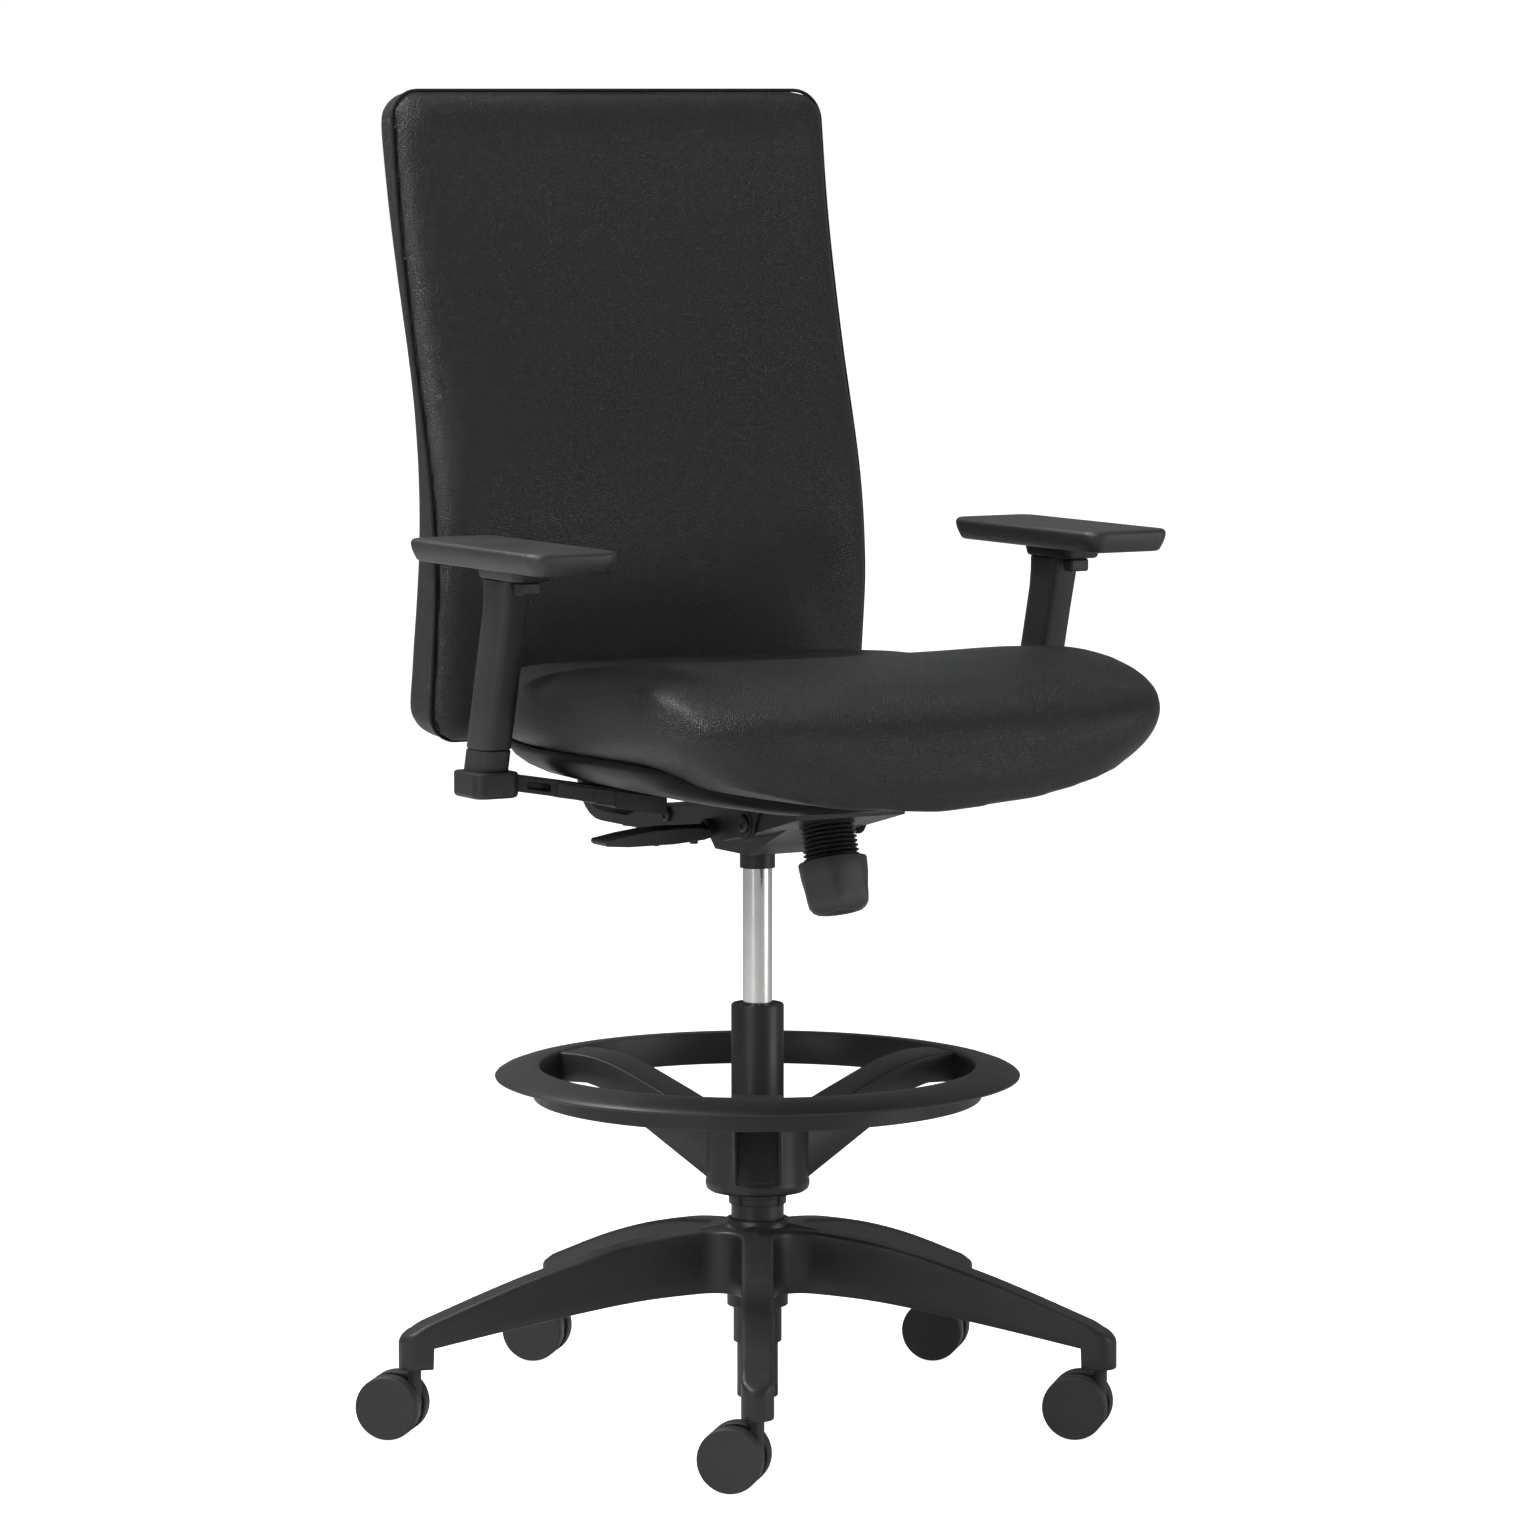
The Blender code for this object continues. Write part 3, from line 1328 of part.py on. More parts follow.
def arm(side, tag):
    bar_axis = Vector((side * cos(BAR_SLOPE), 0, sin(BAR_SLOPE)))
    frame_body = body_empty(f"body_arm_{tag}", post_point(ARM_BLOCK[0], side), seat_body)
    sleeve_body = body_empty(f"body_armrest_{tag}", post_point(ARM_SEAM, side), frame_body)
    trigger_body = body_empty(f"body_trigger_{tag}", post_point(PAD_TOP - 0.05, side), sleeve_body)

    # bar under the seat, parallel to the pan's rising underside
    block_in = ARM_X - 0.020
    top = [(side * x, pan_under(x) - GAP) for x in (BAR_IN, block_in + 0.002)]
    low = [(x, z - BAR_T) for x, z in top[::-1]]
    outline = top + low if side < 0 else low[::-1] + top[::-1]
    half = BAR_WIDTH / 2
    bar = front_plate(
        f"arm_bar_{tag}", outline, ARM_FOOT_Y - half, ARM_FOOT_Y + half, BLACK_STEEL, frame_body
    )
    slot_x = side * (block_in - 0.045)
    slot_z = pan_under(slot_x) - BAR_T / 2
    slot = block(
        f"arm_slot_{tag}", (0.034, 0.012, 0.06), (slot_x, ARM_FOOT_Y, slot_z), None, frame_body
    )
    cut(bar, slot)

    # upright: socket block, lower collar and the tongue that the sleeve slides on
    foot = post_point(ARM_BLOCK[1], side)
    plan = rounded_box(0.021, 0.026, 0.014, 4)
    thickness = ARM_BLOCK[1] - ARM_BLOCK[0]
    rest = Matrix.Translation((foot.x, foot.y, (ARM_BLOCK[0] + ARM_BLOCK[1]) / 2))
    upright = plate(f"arm_upright_{tag}", plan, thickness, rest, BLACK_PLASTIC, frame_body)
    collar = leaning(
        f"arm_collar_{tag}",
        POST_HALF_X,
        POST_HALF_Y,
        ARM_BLOCK[1] - 0.004,
        ARM_SEAM - GAP,
        side,
        None,
        frame_body,
    )
    inner_x = POST_HALF_X - SLEEVE_WALL
    inner_y = POST_HALF_Y - SLEEVE_WALL
    tongue = leaning(
        f"arm_tongue_{tag}",
        inner_x - GAP,
        inner_y - GAP,
        ARM_SEAM - 0.006,
        TONGUE_TOP,
        side,
        None,
        frame_body,
    )
    pocket = front_plate(
        f"arm_pocket_{tag}",
        [(x, z + s * 0.0003) for s, (x, z) in zip((1, 1, -1, -1), top + low)],
        ARM_FOOT_Y - half - GAP,
        ARM_FOOT_Y + half + GAP,
        None,
        frame_body,
    )
    join(upright, collar, tongue)
    cut(upright, pocket)

    sleeve = leaning(
        f"arm_sleeve_{tag}",
        POST_HALF_X,
        POST_HALF_Y,
        ARM_SEAM,
        ARM_SLEEVE_TOP,
        side,
        BLACK_PLASTIC,
        sleeve_body,
    )
    cavity = leaning(
        f"arm_cavity_{tag}",
        inner_x,
        inner_y,
        ARM_SEAM - 0.01,
        TONGUE_TOP + 0.004,
        side,
        None,
        sleeve_body,
    )
    cut(sleeve, cavity)

    # pad base: a thin tray under the pad with a nose that holds the trigger
    pad_under = PAD_TOP - PAD_T
    tray_low = ARM_SLEEVE_TOP + GAP
    tray = plate(
        f"arm_pad_base_{tag}",
        rounded_box(PAD_WIDTH / 2 - 0.018, PAD_LENGTH / 2 - 0.030, 0.012, 4),
        pad_under - GAP - tray_low,
        Matrix.Translation((side * ARM_X, PAD_Y, (pad_under - GAP + tray_low) / 2)),
        BLACK_PLASTIC,
        sleeve_body,
    )
    head = post_point(ARM_SLEEVE_TOP, side)
    trigger_y = head.y - POST_HALF_Y - 0.013
    block(
        f"arm_trigger_{tag}",
        (0.020, 0.016, 0.012),
        (side * ARM_X, trigger_y, tray_low - GAP - 0.006),
        BLACK_PLASTIC,
        trigger_body,
        bevel=0.002,
    )

    # pad: flat top with a rounded rim and a bevelled underside
    levels = ((0.0, 0.80), (0.006, 0.93), (0.011, 1.0), (0.016, 1.0), (0.020, 0.975), (PAD_T, 0.93))
    rings = []
    for height, share in levels:
        inset = (1 - share) * PAD_WIDTH / 2
        plan = rounded_box(
            PAD_WIDTH / 2 - inset,
            PAD_LENGTH / 2 - inset,
            0.018,
            5,
            (side * ARM_X, PAD_Y),
        )
        rings.append([(x, y, pad_under + height) for x, y in plan])
    loft(f"arm_pad_{tag}", rings, PAD_FOAM, sleeve_body)


# ---------------------------------------------------------------- build
star_base()
for index in range(LEG_COUNT):
    castor(index)
column()
foot_ring()
mechanism()
tension_control()
tension_spring()
height_lever()
seat()
back()
for direction, label in ((-1, "right"), (1, "left")):
    arm(direction, label)

base.location = (*COLUMN_AT, 0)
bpy.context.view_layer.update()
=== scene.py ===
# %% [markdown]
# # A drafting chair, from imported frame to studio picture
#
# The chair comes to us as a frame: sixty plain solids on thirty bodies that already turn,
# slide and tilt as they should. This lesson dresses it. Each cell makes one piece or one finish,
# in the order a workshop would: tools first, then finishes, then the chair from the floor up.
#
# We keep the frame's box from the start, because nothing we model may outgrow it.

# %% Load the frame
import json
from math import cos, pi, radians, sin, sqrt, tan

import bpy
from mathutils import Matrix, Vector

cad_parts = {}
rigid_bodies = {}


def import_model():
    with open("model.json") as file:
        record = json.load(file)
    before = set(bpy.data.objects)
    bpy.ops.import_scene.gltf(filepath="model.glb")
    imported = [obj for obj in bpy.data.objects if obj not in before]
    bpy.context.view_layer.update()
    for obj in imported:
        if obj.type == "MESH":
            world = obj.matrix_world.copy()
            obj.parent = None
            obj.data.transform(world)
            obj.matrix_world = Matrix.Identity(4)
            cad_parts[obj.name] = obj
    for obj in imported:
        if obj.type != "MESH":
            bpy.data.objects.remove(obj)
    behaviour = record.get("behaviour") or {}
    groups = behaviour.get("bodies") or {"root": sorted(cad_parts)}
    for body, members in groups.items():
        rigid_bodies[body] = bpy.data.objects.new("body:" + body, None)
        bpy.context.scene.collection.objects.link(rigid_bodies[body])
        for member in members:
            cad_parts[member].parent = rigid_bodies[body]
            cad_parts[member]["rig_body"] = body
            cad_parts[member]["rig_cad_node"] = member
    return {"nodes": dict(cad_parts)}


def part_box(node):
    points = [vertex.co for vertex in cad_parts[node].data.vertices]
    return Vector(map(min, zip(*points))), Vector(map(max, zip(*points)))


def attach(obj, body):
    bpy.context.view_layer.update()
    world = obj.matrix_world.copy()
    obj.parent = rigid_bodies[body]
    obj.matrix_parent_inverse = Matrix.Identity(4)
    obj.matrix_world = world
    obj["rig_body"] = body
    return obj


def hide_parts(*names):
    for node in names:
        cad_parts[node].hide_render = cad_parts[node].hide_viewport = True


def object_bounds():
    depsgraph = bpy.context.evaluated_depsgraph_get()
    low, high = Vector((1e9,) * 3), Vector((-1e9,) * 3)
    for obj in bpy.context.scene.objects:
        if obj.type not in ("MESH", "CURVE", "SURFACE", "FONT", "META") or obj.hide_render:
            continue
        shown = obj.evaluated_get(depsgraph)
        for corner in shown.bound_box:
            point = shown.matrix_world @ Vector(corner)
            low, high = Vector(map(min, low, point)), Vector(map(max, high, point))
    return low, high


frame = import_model()
cad_low, cad_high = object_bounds()
low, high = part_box("gas_cylinder")
COLUMN = Vector(((low.x + high.x) / 2, (low.y + high.y) / 2, 0.0))
TO_COLUMN = Matrix.Translation(COLUMN)
print("frame box", [round(v, 4) for v in (*cad_low, *cad_high)], "column at", COLUMN.to_tuple(4))


# %% [markdown]
# ## The bench tools
#
# Blender's operators act on whatever is selected, and loading the frame leaves its parts selected.
# So every tool here begins by picking exactly one piece. `press` adds a modifier and applies it at
# once, `settle` moves a piece and bakes the move into its mesh, and `called` names the newest piece.

# %% Picking, naming, pressing and settling
WELD_GAP = 0.000005


def leave_edit():
    """Go back to object mode, from wherever we are."""
    if bpy.context.mode != "OBJECT":
        bpy.ops.object.mode_set(mode="OBJECT")


def only(piece):
    """Leave edit mode and select this piece alone."""
    leave_edit()
    bpy.ops.object.select_all(action="DESELECT")
    piece.select_set(True)
    bpy.context.view_layer.objects.active = piece


def open_up(piece):
    """Put one piece in edit mode with everything selected."""
    only(piece)
    bpy.ops.object.mode_set(mode="EDIT")
    bpy.ops.mesh.select_all(action="SELECT")


def called(name):
    """Name the piece that was just added."""
    piece = bpy.context.active_object
    piece.name = name
    piece.data.name = name
    return piece


def press(piece, kind, **settings):
    """Add one modifier, set it and apply it."""
    only(piece)
    step = piece.modifiers.new(kind.lower(), kind)
    for setting, value in settings.items():
        setattr(step, setting, value)
    bpy.ops.object.modifier_apply(modifier=step.name)


def settle(piece, place):
    """Move a piece, then bake the move so that its object sits at the origin."""
    only(piece)
    piece.matrix_world = place @ piece.matrix_world
    bpy.ops.object.transform_apply(location=True, rotation=True, scale=True)


def tidy(piece):
    """Weld doubled corners, drop loose edges and turn every face outwards."""
    open_up(piece)
    bpy.ops.mesh.remove_doubles(threshold=WELD_GAP)
    bpy.ops.mesh.delete_loose(use_verts=True, use_edges=True, use_faces=False)
    bpy.ops.mesh.select_all(action="SELECT")
    bpy.ops.mesh.normals_make_consistent(inside=False)
    bpy.ops.object.mode_set(mode="OBJECT")


def smooth(piece, angle=35):
    """Shade smooth, but keep edges sharper than the angle crisp."""
    only(piece)
    bpy.ops.object.shade_smooth_by_angle(angle=radians(angle))


def ease_edges(piece, width, segments=3, angle=30):
    """Round every edge sharper than the angle, and keep the flats looking flat."""
    press(
        piece,
        "BEVEL",
        width=width,
        segments=segments,
        limit_method="ANGLE",
        angle_limit=radians(angle),
        miter_outer="MITER_ARC",
    )
    smooth(piece, 40)
    press(piece, "WEIGHTED_NORMAL", keep_sharp=True)


print("bench tools ready")


# %% [markdown]
# Four ways to get a body of material cover the whole chair. A **turned** piece is an outline spun
# about an axis, as on a lathe. A **slab** is a flat outline given thickness. A **rolled** piece is a
# grid rolled up so that each of its rows becomes one ring: it suits shapes that change along their
# length. A **drawn** wire is a curve with a round section. `carve` and `weld` cut and join them.

# %% Turned, slab, rolled and drawn pieces
STAND_SIDE = Matrix(((0, 0, 1, 0), (1, 0, 0, 0), (0, 1, 0, 0), (0, 0, 0, 1)))
STAND_FRONT = Matrix(((1, 0, 0, 0), (0, 0, -1, 0), (0, 1, 0, 0), (0, 0, 0, 1)))


def outlined(name, points, fill):
    """A closed outline: a circle whose corners are moved to the given points."""
    leave_edit()
    bpy.ops.mesh.primitive_circle_add(vertices=len(points), radius=1.0, fill_type=fill)
    piece = called(name)
    for corner, place in zip(piece.data.vertices, points):
        corner.co = place
    open_up(piece)
    return piece


def turned(name, profile, steps=96, angle=2 * pi, start=0.0):
    """Spin a closed outline of (radius, height) about Z."""
    points = [(r * cos(start), r * sin(start), z) for r, z in profile]
    piece = outlined(name, points, "NOTHING")
    bpy.ops.mesh.spin(steps=steps, angle=angle, center=(0, 0, 0), axis=(0, 0, 1))
    bpy.ops.object.mode_set(mode="OBJECT")
    tidy(piece)
    smooth(piece)
    return piece


def slab(name, outline, low_side, high_side, stand=None):
    """Give a flat outline a thickness, then stand it up if asked."""
    piece = outlined(name, [(x, y, low_side) for x, y in outline], "NGON")
    bpy.ops.mesh.extrude_region_move(TRANSFORM_OT_translate={"value": (0, 0, high_side - low_side)})
    bpy.ops.object.mode_set(mode="OBJECT")
    if stand is not None:
        settle(piece, stand)
    tidy(piece)
    return piece


def cap_ends(piece):
    """Close every open end and turn the faces outwards."""
    open_up(piece)
    bpy.ops.mesh.fill_holes(sides=0)
    bpy.ops.mesh.normals_make_consistent(inside=False)
    bpy.ops.object.mode_set(mode="OBJECT")


def rolled(name, rings, capped=True):
    """Roll a grid so that each of its rows follows one ring of points."""
    leave_edit()
    across, along = len(rings[0]), len(rings) - 1
    bpy.ops.mesh.primitive_grid_add(x_subdivisions=across, y_subdivisions=along, size=1.0)
    piece = called(name)
    places = [point for ring in rings for point in [*ring, ring[0]]]
    for corner, place in zip(piece.data.vertices, places):
        corner.co = place
    tidy(piece)
    if capped:
        cap_ends(piece)
    smooth(piece)
    return piece


def drawn(name, points, thickness, closed=False):
    """A round wire along a line of points, made solid."""
    leave_edit()
    bpy.ops.curve.primitive_nurbs_path_add(radius=1.0)
    wire = called(name)
    wire.data.splines.clear()
    spline = wire.data.splines.new("POLY")
    spline.points.add(len(points) - 1)
    for corner, place in zip(spline.points, points):
        corner.co = (*place, 1.0)
    spline.use_cyclic_u = closed
    wire.data.bevel_depth = thickness / 2
    wire.data.bevel_resolution = 4
    wire.data.use_fill_caps = not closed
    only(wire)
    bpy.ops.object.convert(target="MESH")
    wire = bpy.context.active_object
    wire.name = name
    tidy(wire)
    smooth(wire, 50)
    return wire


def carve(piece, *tools):
    """Cut tools out of a piece and throw them away."""
    for tool in tools:
        press(piece, "BOOLEAN", operation="DIFFERENCE", object=tool, solver="EXACT")
        bpy.data.objects.remove(tool)


def weld(piece, *parts):
    """Join parts to a piece as one solid."""
    for part in parts:
        press(piece, "BOOLEAN", operation="UNION", object=part, solver="EXACT")
        bpy.data.objects.remove(part)


def copied(piece, name):
    """A copy with a mesh of its own."""
    twin = piece.copy()
    twin.data = piece.data.copy()
    twin.name = name
    twin.data.name = name
    bpy.context.scene.collection.objects.link(twin)
    twin.hide_viewport = False
    twin.hide_render = False
    return twin


def frame_copy(node, name):
    """A welded copy of one of the frame's solids, with its flat faces made whole again."""
    twin = copied(frame["nodes"][node], name)
    twin.parent = None
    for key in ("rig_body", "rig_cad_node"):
        del twin[key]
    tidy(twin)
    open_up(twin)
    bpy.ops.mesh.dissolve_limited(angle_limit=radians(0.5))
    bpy.ops.object.mode_set(mode="OBJECT")
    return twin


print("shaping tools ready")


# %% [markdown]
# The outlines themselves come from a few formulas. Round corners are arcs, the posts are rounded
# ovals, and a height that changes along a leg or a cushion is a smooth curve through a few chosen
# keys. `hand_over` ends each piece: it gets its finish, and the body it will move with.

# %% Lines, arcs and outlines
def arc(x, y, radius, start, end, count):
    """Points on a circle from one angle to another, in degrees, both ends included."""
    angles = [radians(start + (end - start) * i / (count - 1)) for i in range(count)]
    return [(x + radius * cos(a), y + radius * sin(a)) for a in angles]


def rounded_box(half_x, half_y, radius, count=8):
    """A rectangle with round corners, anticlockwise."""
    points = []
    for corner, (sx, sy) in enumerate(((1, 1), (-1, 1), (-1, -1), (1, -1))):
        middle = (sx * (half_x - radius), sy * (half_y - radius))
        points += arc(*middle, radius, corner * 90, corner * 90 + 90, count)
    return points


def oval(half_x, half_y, power, count=48):
    """A superellipse: 2 is an ellipse, and a higher power is squarer."""
    points = []
    for i in range(count):
        c = cos(2 * pi * i / count)
        s = sin(2 * pi * i / count)
        x = half_x * abs(c) ** (2 / power) * (1 if c > 0 else -1)
        y = half_y * abs(s) ** (2 / power) * (1 if s > 0 else -1)
        points.append((x, y))
    return points


def eased(keys, t):
    """A smooth curve through (position, value) keys."""
    i = max(k for k in range(len(keys) - 1) if k == 0 or t > keys[k][0])
    (t0, v0), (t1, v1) = keys[i], keys[i + 1]
    before = keys[max(i - 1, 0)]
    after = keys[min(i + 2, len(keys) - 1)]
    h = t1 - t0
    slope0 = (v1 - before[1]) / (t1 - before[0]) * h
    slope1 = (after[1] - v0) / (after[0] - t0) * h
    s = min(max((t - t0) / h, 0.0), 1.0)
    return (
        v0 * (2 * s**3 - 3 * s**2 + 1)
        + slope0 * (s**3 - 2 * s**2 + s)
        + v1 * (3 * s**2 - 2 * s**3)
        + slope1 * (s**3 - s**2)
    )


def ramp(low_end, high_end, value):
    """0 below one value, 1 above another, and a smooth step between."""
    share = min(max((value - low_end) / (high_end - low_end), 0.0), 1.0)
    return share * share * (3 - 2 * share)


def azimuth(degrees):
    """Turn that takes the front, -Y, to an azimuth about the column."""
    return Matrix.Rotation(radians(degrees), 4, "Z")


def reach(node):
    """The box of a frame solid, seen from the column's axis."""
    low_corner, high_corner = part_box(node)
    return low_corner - COLUMN, high_corner - COLUMN


def block(name, size, place):
    """A plain block of a size, at a place."""
    leave_edit()
    bpy.ops.mesh.primitive_cube_add(size=1.0)
    piece = called(name)
    piece.scale = size
    piece.location = place
    return piece


def hand_over(piece, body, slot_name, material, *stands_for):
    """Give a finished piece its material and its body, and hide the solids it stands for. The slot name is
    not used.
    """
    piece.data.materials.clear()
    piece.data.materials.append(material)
    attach(piece, body)
    if stands_for:
        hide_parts(*stands_for)
    print(f"{piece.name}: {len(piece.data.polygons)} faces on {body}")
    return piece


# %% [markdown]
# ## The studio
#
# Product shots of chairs are made on a white sweep with a very long lens, so that verticals stay
# upright. The camera stands six metres off, a little above the seat, thirty degrees round towards
# the sitter's right. The room itself is a soft grey dome. The camera sees it white, and only the
# camera: a fully white room would wash the black plastics out to grey.

# %% Camera, room and floor
scene = bpy.context.scene
CAMERA_PLACE = Vector((-3.02, -5.2308, 1.256))
CAMERA_TURN = (radians(83.97), 0.0, radians(-30.094))
LONG_LENS = 151.17
bpy.ops.object.camera_add(location=COLUMN + CAMERA_PLACE, rotation=CAMERA_TURN)
camera = bpy.context.active_object
camera.name = "studio_camera"
camera.data.lens = LONG_LENS
camera.data.sensor_width = 36.0
camera.data.clip_end = 50.0
scene.camera = camera
scene.view_settings.view_transform = "Standard"

world = bpy.data.worlds.new("soft_room")
scene.world = world
world.use_nodes = True
room = world.node_tree
room.nodes.clear()
ROOM_LIGHT = 0.24
dome = room.nodes.new("ShaderNodeBackground")
dome.inputs["Color"].default_value = (0.98, 0.99, 1.0, 1.0)
dome.inputs["Strength"].default_value = ROOM_LIGHT
paper = room.nodes.new("ShaderNodeBackground")
paper.inputs["Color"].default_value = (1.0, 1.0, 1.0, 1.0)
paper.inputs["Strength"].default_value = 1.0
who_looks = room.nodes.new("ShaderNodeLightPath")
pick_room = room.nodes.new("ShaderNodeMixShader")
room_out = room.nodes.new("ShaderNodeOutputWorld")
room.links.new(who_looks.outputs["Is Camera Ray"], pick_room.inputs["Fac"])
room.links.new(dome.outputs["Background"], pick_room.inputs[1])
room.links.new(paper.outputs["Background"], pick_room.inputs[2])
room.links.new(pick_room.outputs["Shader"], room_out.inputs["Surface"])

bpy.ops.mesh.primitive_plane_add(size=60.0, location=(0.0, 0.0, cad_low.z - 0.0005))
floor = called("studio_floor")
settle(floor, Matrix.Identity(4))
print("camera at", camera.location.to_tuple(3), "room light", ROOM_LIGHT)


# %% [markdown]
# Five soft panels do the lighting, as softboxes would. The key hangs high on the left and makes the
# glow on the seat's shoulder. A strip low on the left brightens the outer sides of the arm and the
# wheels. A panel on the right lifts the far edges, one above keeps the tops from going dead, and a small
# bright one behind draws the rims.

# %% Soft panels
def panel(name, place, aim, size, power, tint=(1.0, 1.0, 1.0)):
    """A square soft light that faces a point."""
    place = COLUMN + Vector(place)
    bpy.ops.object.light_add(type="AREA", location=place)
    light = bpy.context.active_object
    light.name = name
    light.data.shape = "RECTANGLE"
    light.data.size = size[0]
    light.data.size_y = size[1]
    light.data.energy = power
    light.data.color = tint
    light.rotation_euler = (COLUMN + Vector(aim) - place).to_track_quat("-Z", "Y").to_euler()
    return light


panel("key_panel", (-2.4, -0.9, 2.7), (0.0, -0.1, 0.7), (1.0, 1.0), 44.0)
panel("side_panel", (-3.2, -1.6, 1.0), (0.0, 0.0, 0.6), (0.5, 1.6), 8.0)
panel("fill_panel", (2.6, -2.8, 1.0), (0.0, 0.0, 0.8), (1.8, 2.0), 32.0)
panel("top_panel", (0.3, 0.4, 3.4), (0.0, 0.0, 0.7), (2.2, 2.2), 6.0)
panel("rim_panel", (-1.5, 1.2, 3.2), (0.0, -0.1, 0.7), (0.7, 0.7), 66.0)


# %% [markdown]
# ## Finishes
#
# Nearly everything here is black, so the finishes differ in what light does on them and not in
# colour: the grain of a mould, the orange peel of powder coat, the fine leathery print on the
# upholstery, the vertical polish of the lift's cylinder. Each of those effects is a node group with
# named inputs, built once and placed in several materials. A group puts out only values. The
# Principled shader stays in the material itself.

# %% A helper for node groups
def effect(name, inputs, outputs):
    """An empty node group with float inputs and outputs, and its two end nodes."""
    group = bpy.data.node_groups.new(name, "ShaderNodeTree")
    for label, value in inputs.items():
        socket = group.interface.new_socket(name=label, in_out="INPUT", socket_type="NodeSocketFloat")
        socket.default_value = value
    for label in outputs:
        group.interface.new_socket(name=label, in_out="OUTPUT", socket_type="NodeSocketFloat")
    start = group.nodes.new("NodeGroupInput")
    end = group.nodes.new("NodeGroupOutput")
    return group, start, end


def math_node(tree, operation, first, second=None, clamp=False):
    """One maths node, fed by sockets or numbers."""
    node = tree.nodes.new("ShaderNodeMath")
    node.operation = operation
    node.use_clamp = clamp
    for socket, value in zip(node.inputs, (first, second)):
        if isinstance(value, bpy.types.NodeSocket):
            tree.links.new(value, socket)
        elif value is not None:
            socket.default_value = value
    return node.outputs[0]


def noise(tree, place, scale, detail=4.0, roughness=0.5):
    """Fine noise read at a place, as one value."""
    node = tree.nodes.new("ShaderNodeTexNoise")
    node.inputs["Detail"].default_value = detail
    node.inputs["Roughness"].default_value = roughness
    tree.links.new(place, node.inputs["Vector"])
    if isinstance(scale, bpy.types.NodeSocket):
        tree.links.new(scale, node.inputs["Scale"])
    else:
        node.inputs["Scale"].default_value = scale
    return node.outputs["Fac"]


def object_place(tree, stretch=(1.0, 1.0, 1.0)):
    """Object coordinates, stretched if asked."""
    coordinates = tree.nodes.new("ShaderNodeTexCoord")
    mapping = tree.nodes.new("ShaderNodeMapping")
    mapping.inputs["Scale"].default_value = stretch
    tree.links.new(coordinates.outputs["Object"], mapping.inputs["Vector"])
    return mapping.outputs["Vector"]


# %% [markdown]
# **Mould grain** is the spark-eroded texture of injection moulds: two noises, one of them sharp.
# **Peel** is the soft ripple that powder coat dries with. **Hide print** is the upholstery's grain:
# small rounded cells with creases between them, plus a finer prickle inside each cell.

# %% Mould grain, peel and hide print
mould_grain, begin, end = effect("mould_grain", {"Scale": 900.0}, ["Height", "Mask"])
place = object_place(mould_grain)
coarse = noise(mould_grain, place, begin.outputs["Scale"], 3.0, 0.6)
double_scale = math_node(mould_grain, "MULTIPLY", begin.outputs["Scale"], 2.7)
fine = noise(mould_grain, place, double_scale, 2.0, 0.5)
pits = math_node(mould_grain, "POWER", coarse, 1.6)
height = math_node(mould_grain, "ADD", pits, math_node(mould_grain, "MULTIPLY", fine, 0.45))
mould_grain.links.new(height, end.inputs["Height"])
mould_grain.links.new(coarse, end.inputs["Mask"])

peel, begin, end = effect("powder_peel", {"Scale": 420.0}, ["Height", "Mask"])
place = object_place(peel)
ripple = noise(peel, place, begin.outputs["Scale"], 1.5, 0.4)
speck = noise(peel, place, math_node(peel, "MULTIPLY", begin.outputs["Scale"], 4.0), 1.0, 0.5)
height = math_node(peel, "ADD", ripple, math_node(peel, "MULTIPLY", speck, 0.25))
peel.links.new(height, end.inputs["Height"])
peel.links.new(ripple, end.inputs["Mask"])

hide_print, begin, end = effect("hide_print", {"Scale": 620.0}, ["Height", "Crease"])
place = object_place(hide_print)
wander = hide_print.nodes.new("ShaderNodeTexNoise")
wander.inputs["Scale"].default_value = 260.0
wander.inputs["Detail"].default_value = 2.0
hide_print.links.new(place, wander.inputs["Vector"])
drift = hide_print.nodes.new("ShaderNodeVectorMath")
drift.operation = "MULTIPLY_ADD"
drift.inputs[1].default_value = (0.0016, 0.0016, 0.0016)
hide_print.links.new(wander.outputs["Color"], drift.inputs[0])
hide_print.links.new(place, drift.inputs[2])
cells = hide_print.nodes.new("ShaderNodeTexVoronoi")
cells.feature = "DISTANCE_TO_EDGE"
hide_print.links.new(begin.outputs["Scale"], cells.inputs["Scale"])
hide_print.links.new(drift.outputs["Vector"], cells.inputs["Vector"])
crease = hide_print.nodes.new("ShaderNodeMapRange")
crease.interpolation_type = "SMOOTHSTEP"
crease.inputs["From Max"].default_value = 0.22
hide_print.links.new(cells.outputs["Distance"], crease.inputs["Value"])
prickle = noise(hide_print, place, math_node(hide_print, "MULTIPLY", begin.outputs["Scale"], 3.2), 2.0)
half_prickle = math_node(hide_print, "MULTIPLY", prickle, 0.5)
height = math_node(hide_print, "ADD", crease.outputs["Result"], half_prickle)
hide_print.links.new(height, end.inputs["Height"])
valley = math_node(hide_print, "SUBTRACT", 1.0, crease.outputs["Result"])
hide_print.links.new(valley, end.inputs["Crease"])
print("grains:", mould_grain.name, peel.name, hide_print.name)


# %% [markdown]
# **Handling** is what use and packing leave on any surface: broad cloudy patches where it has been
# touched, with short fine scuffs inside them. **Dust** settles where a face looks up. Both are faint,
# and both drive roughness more than colour.

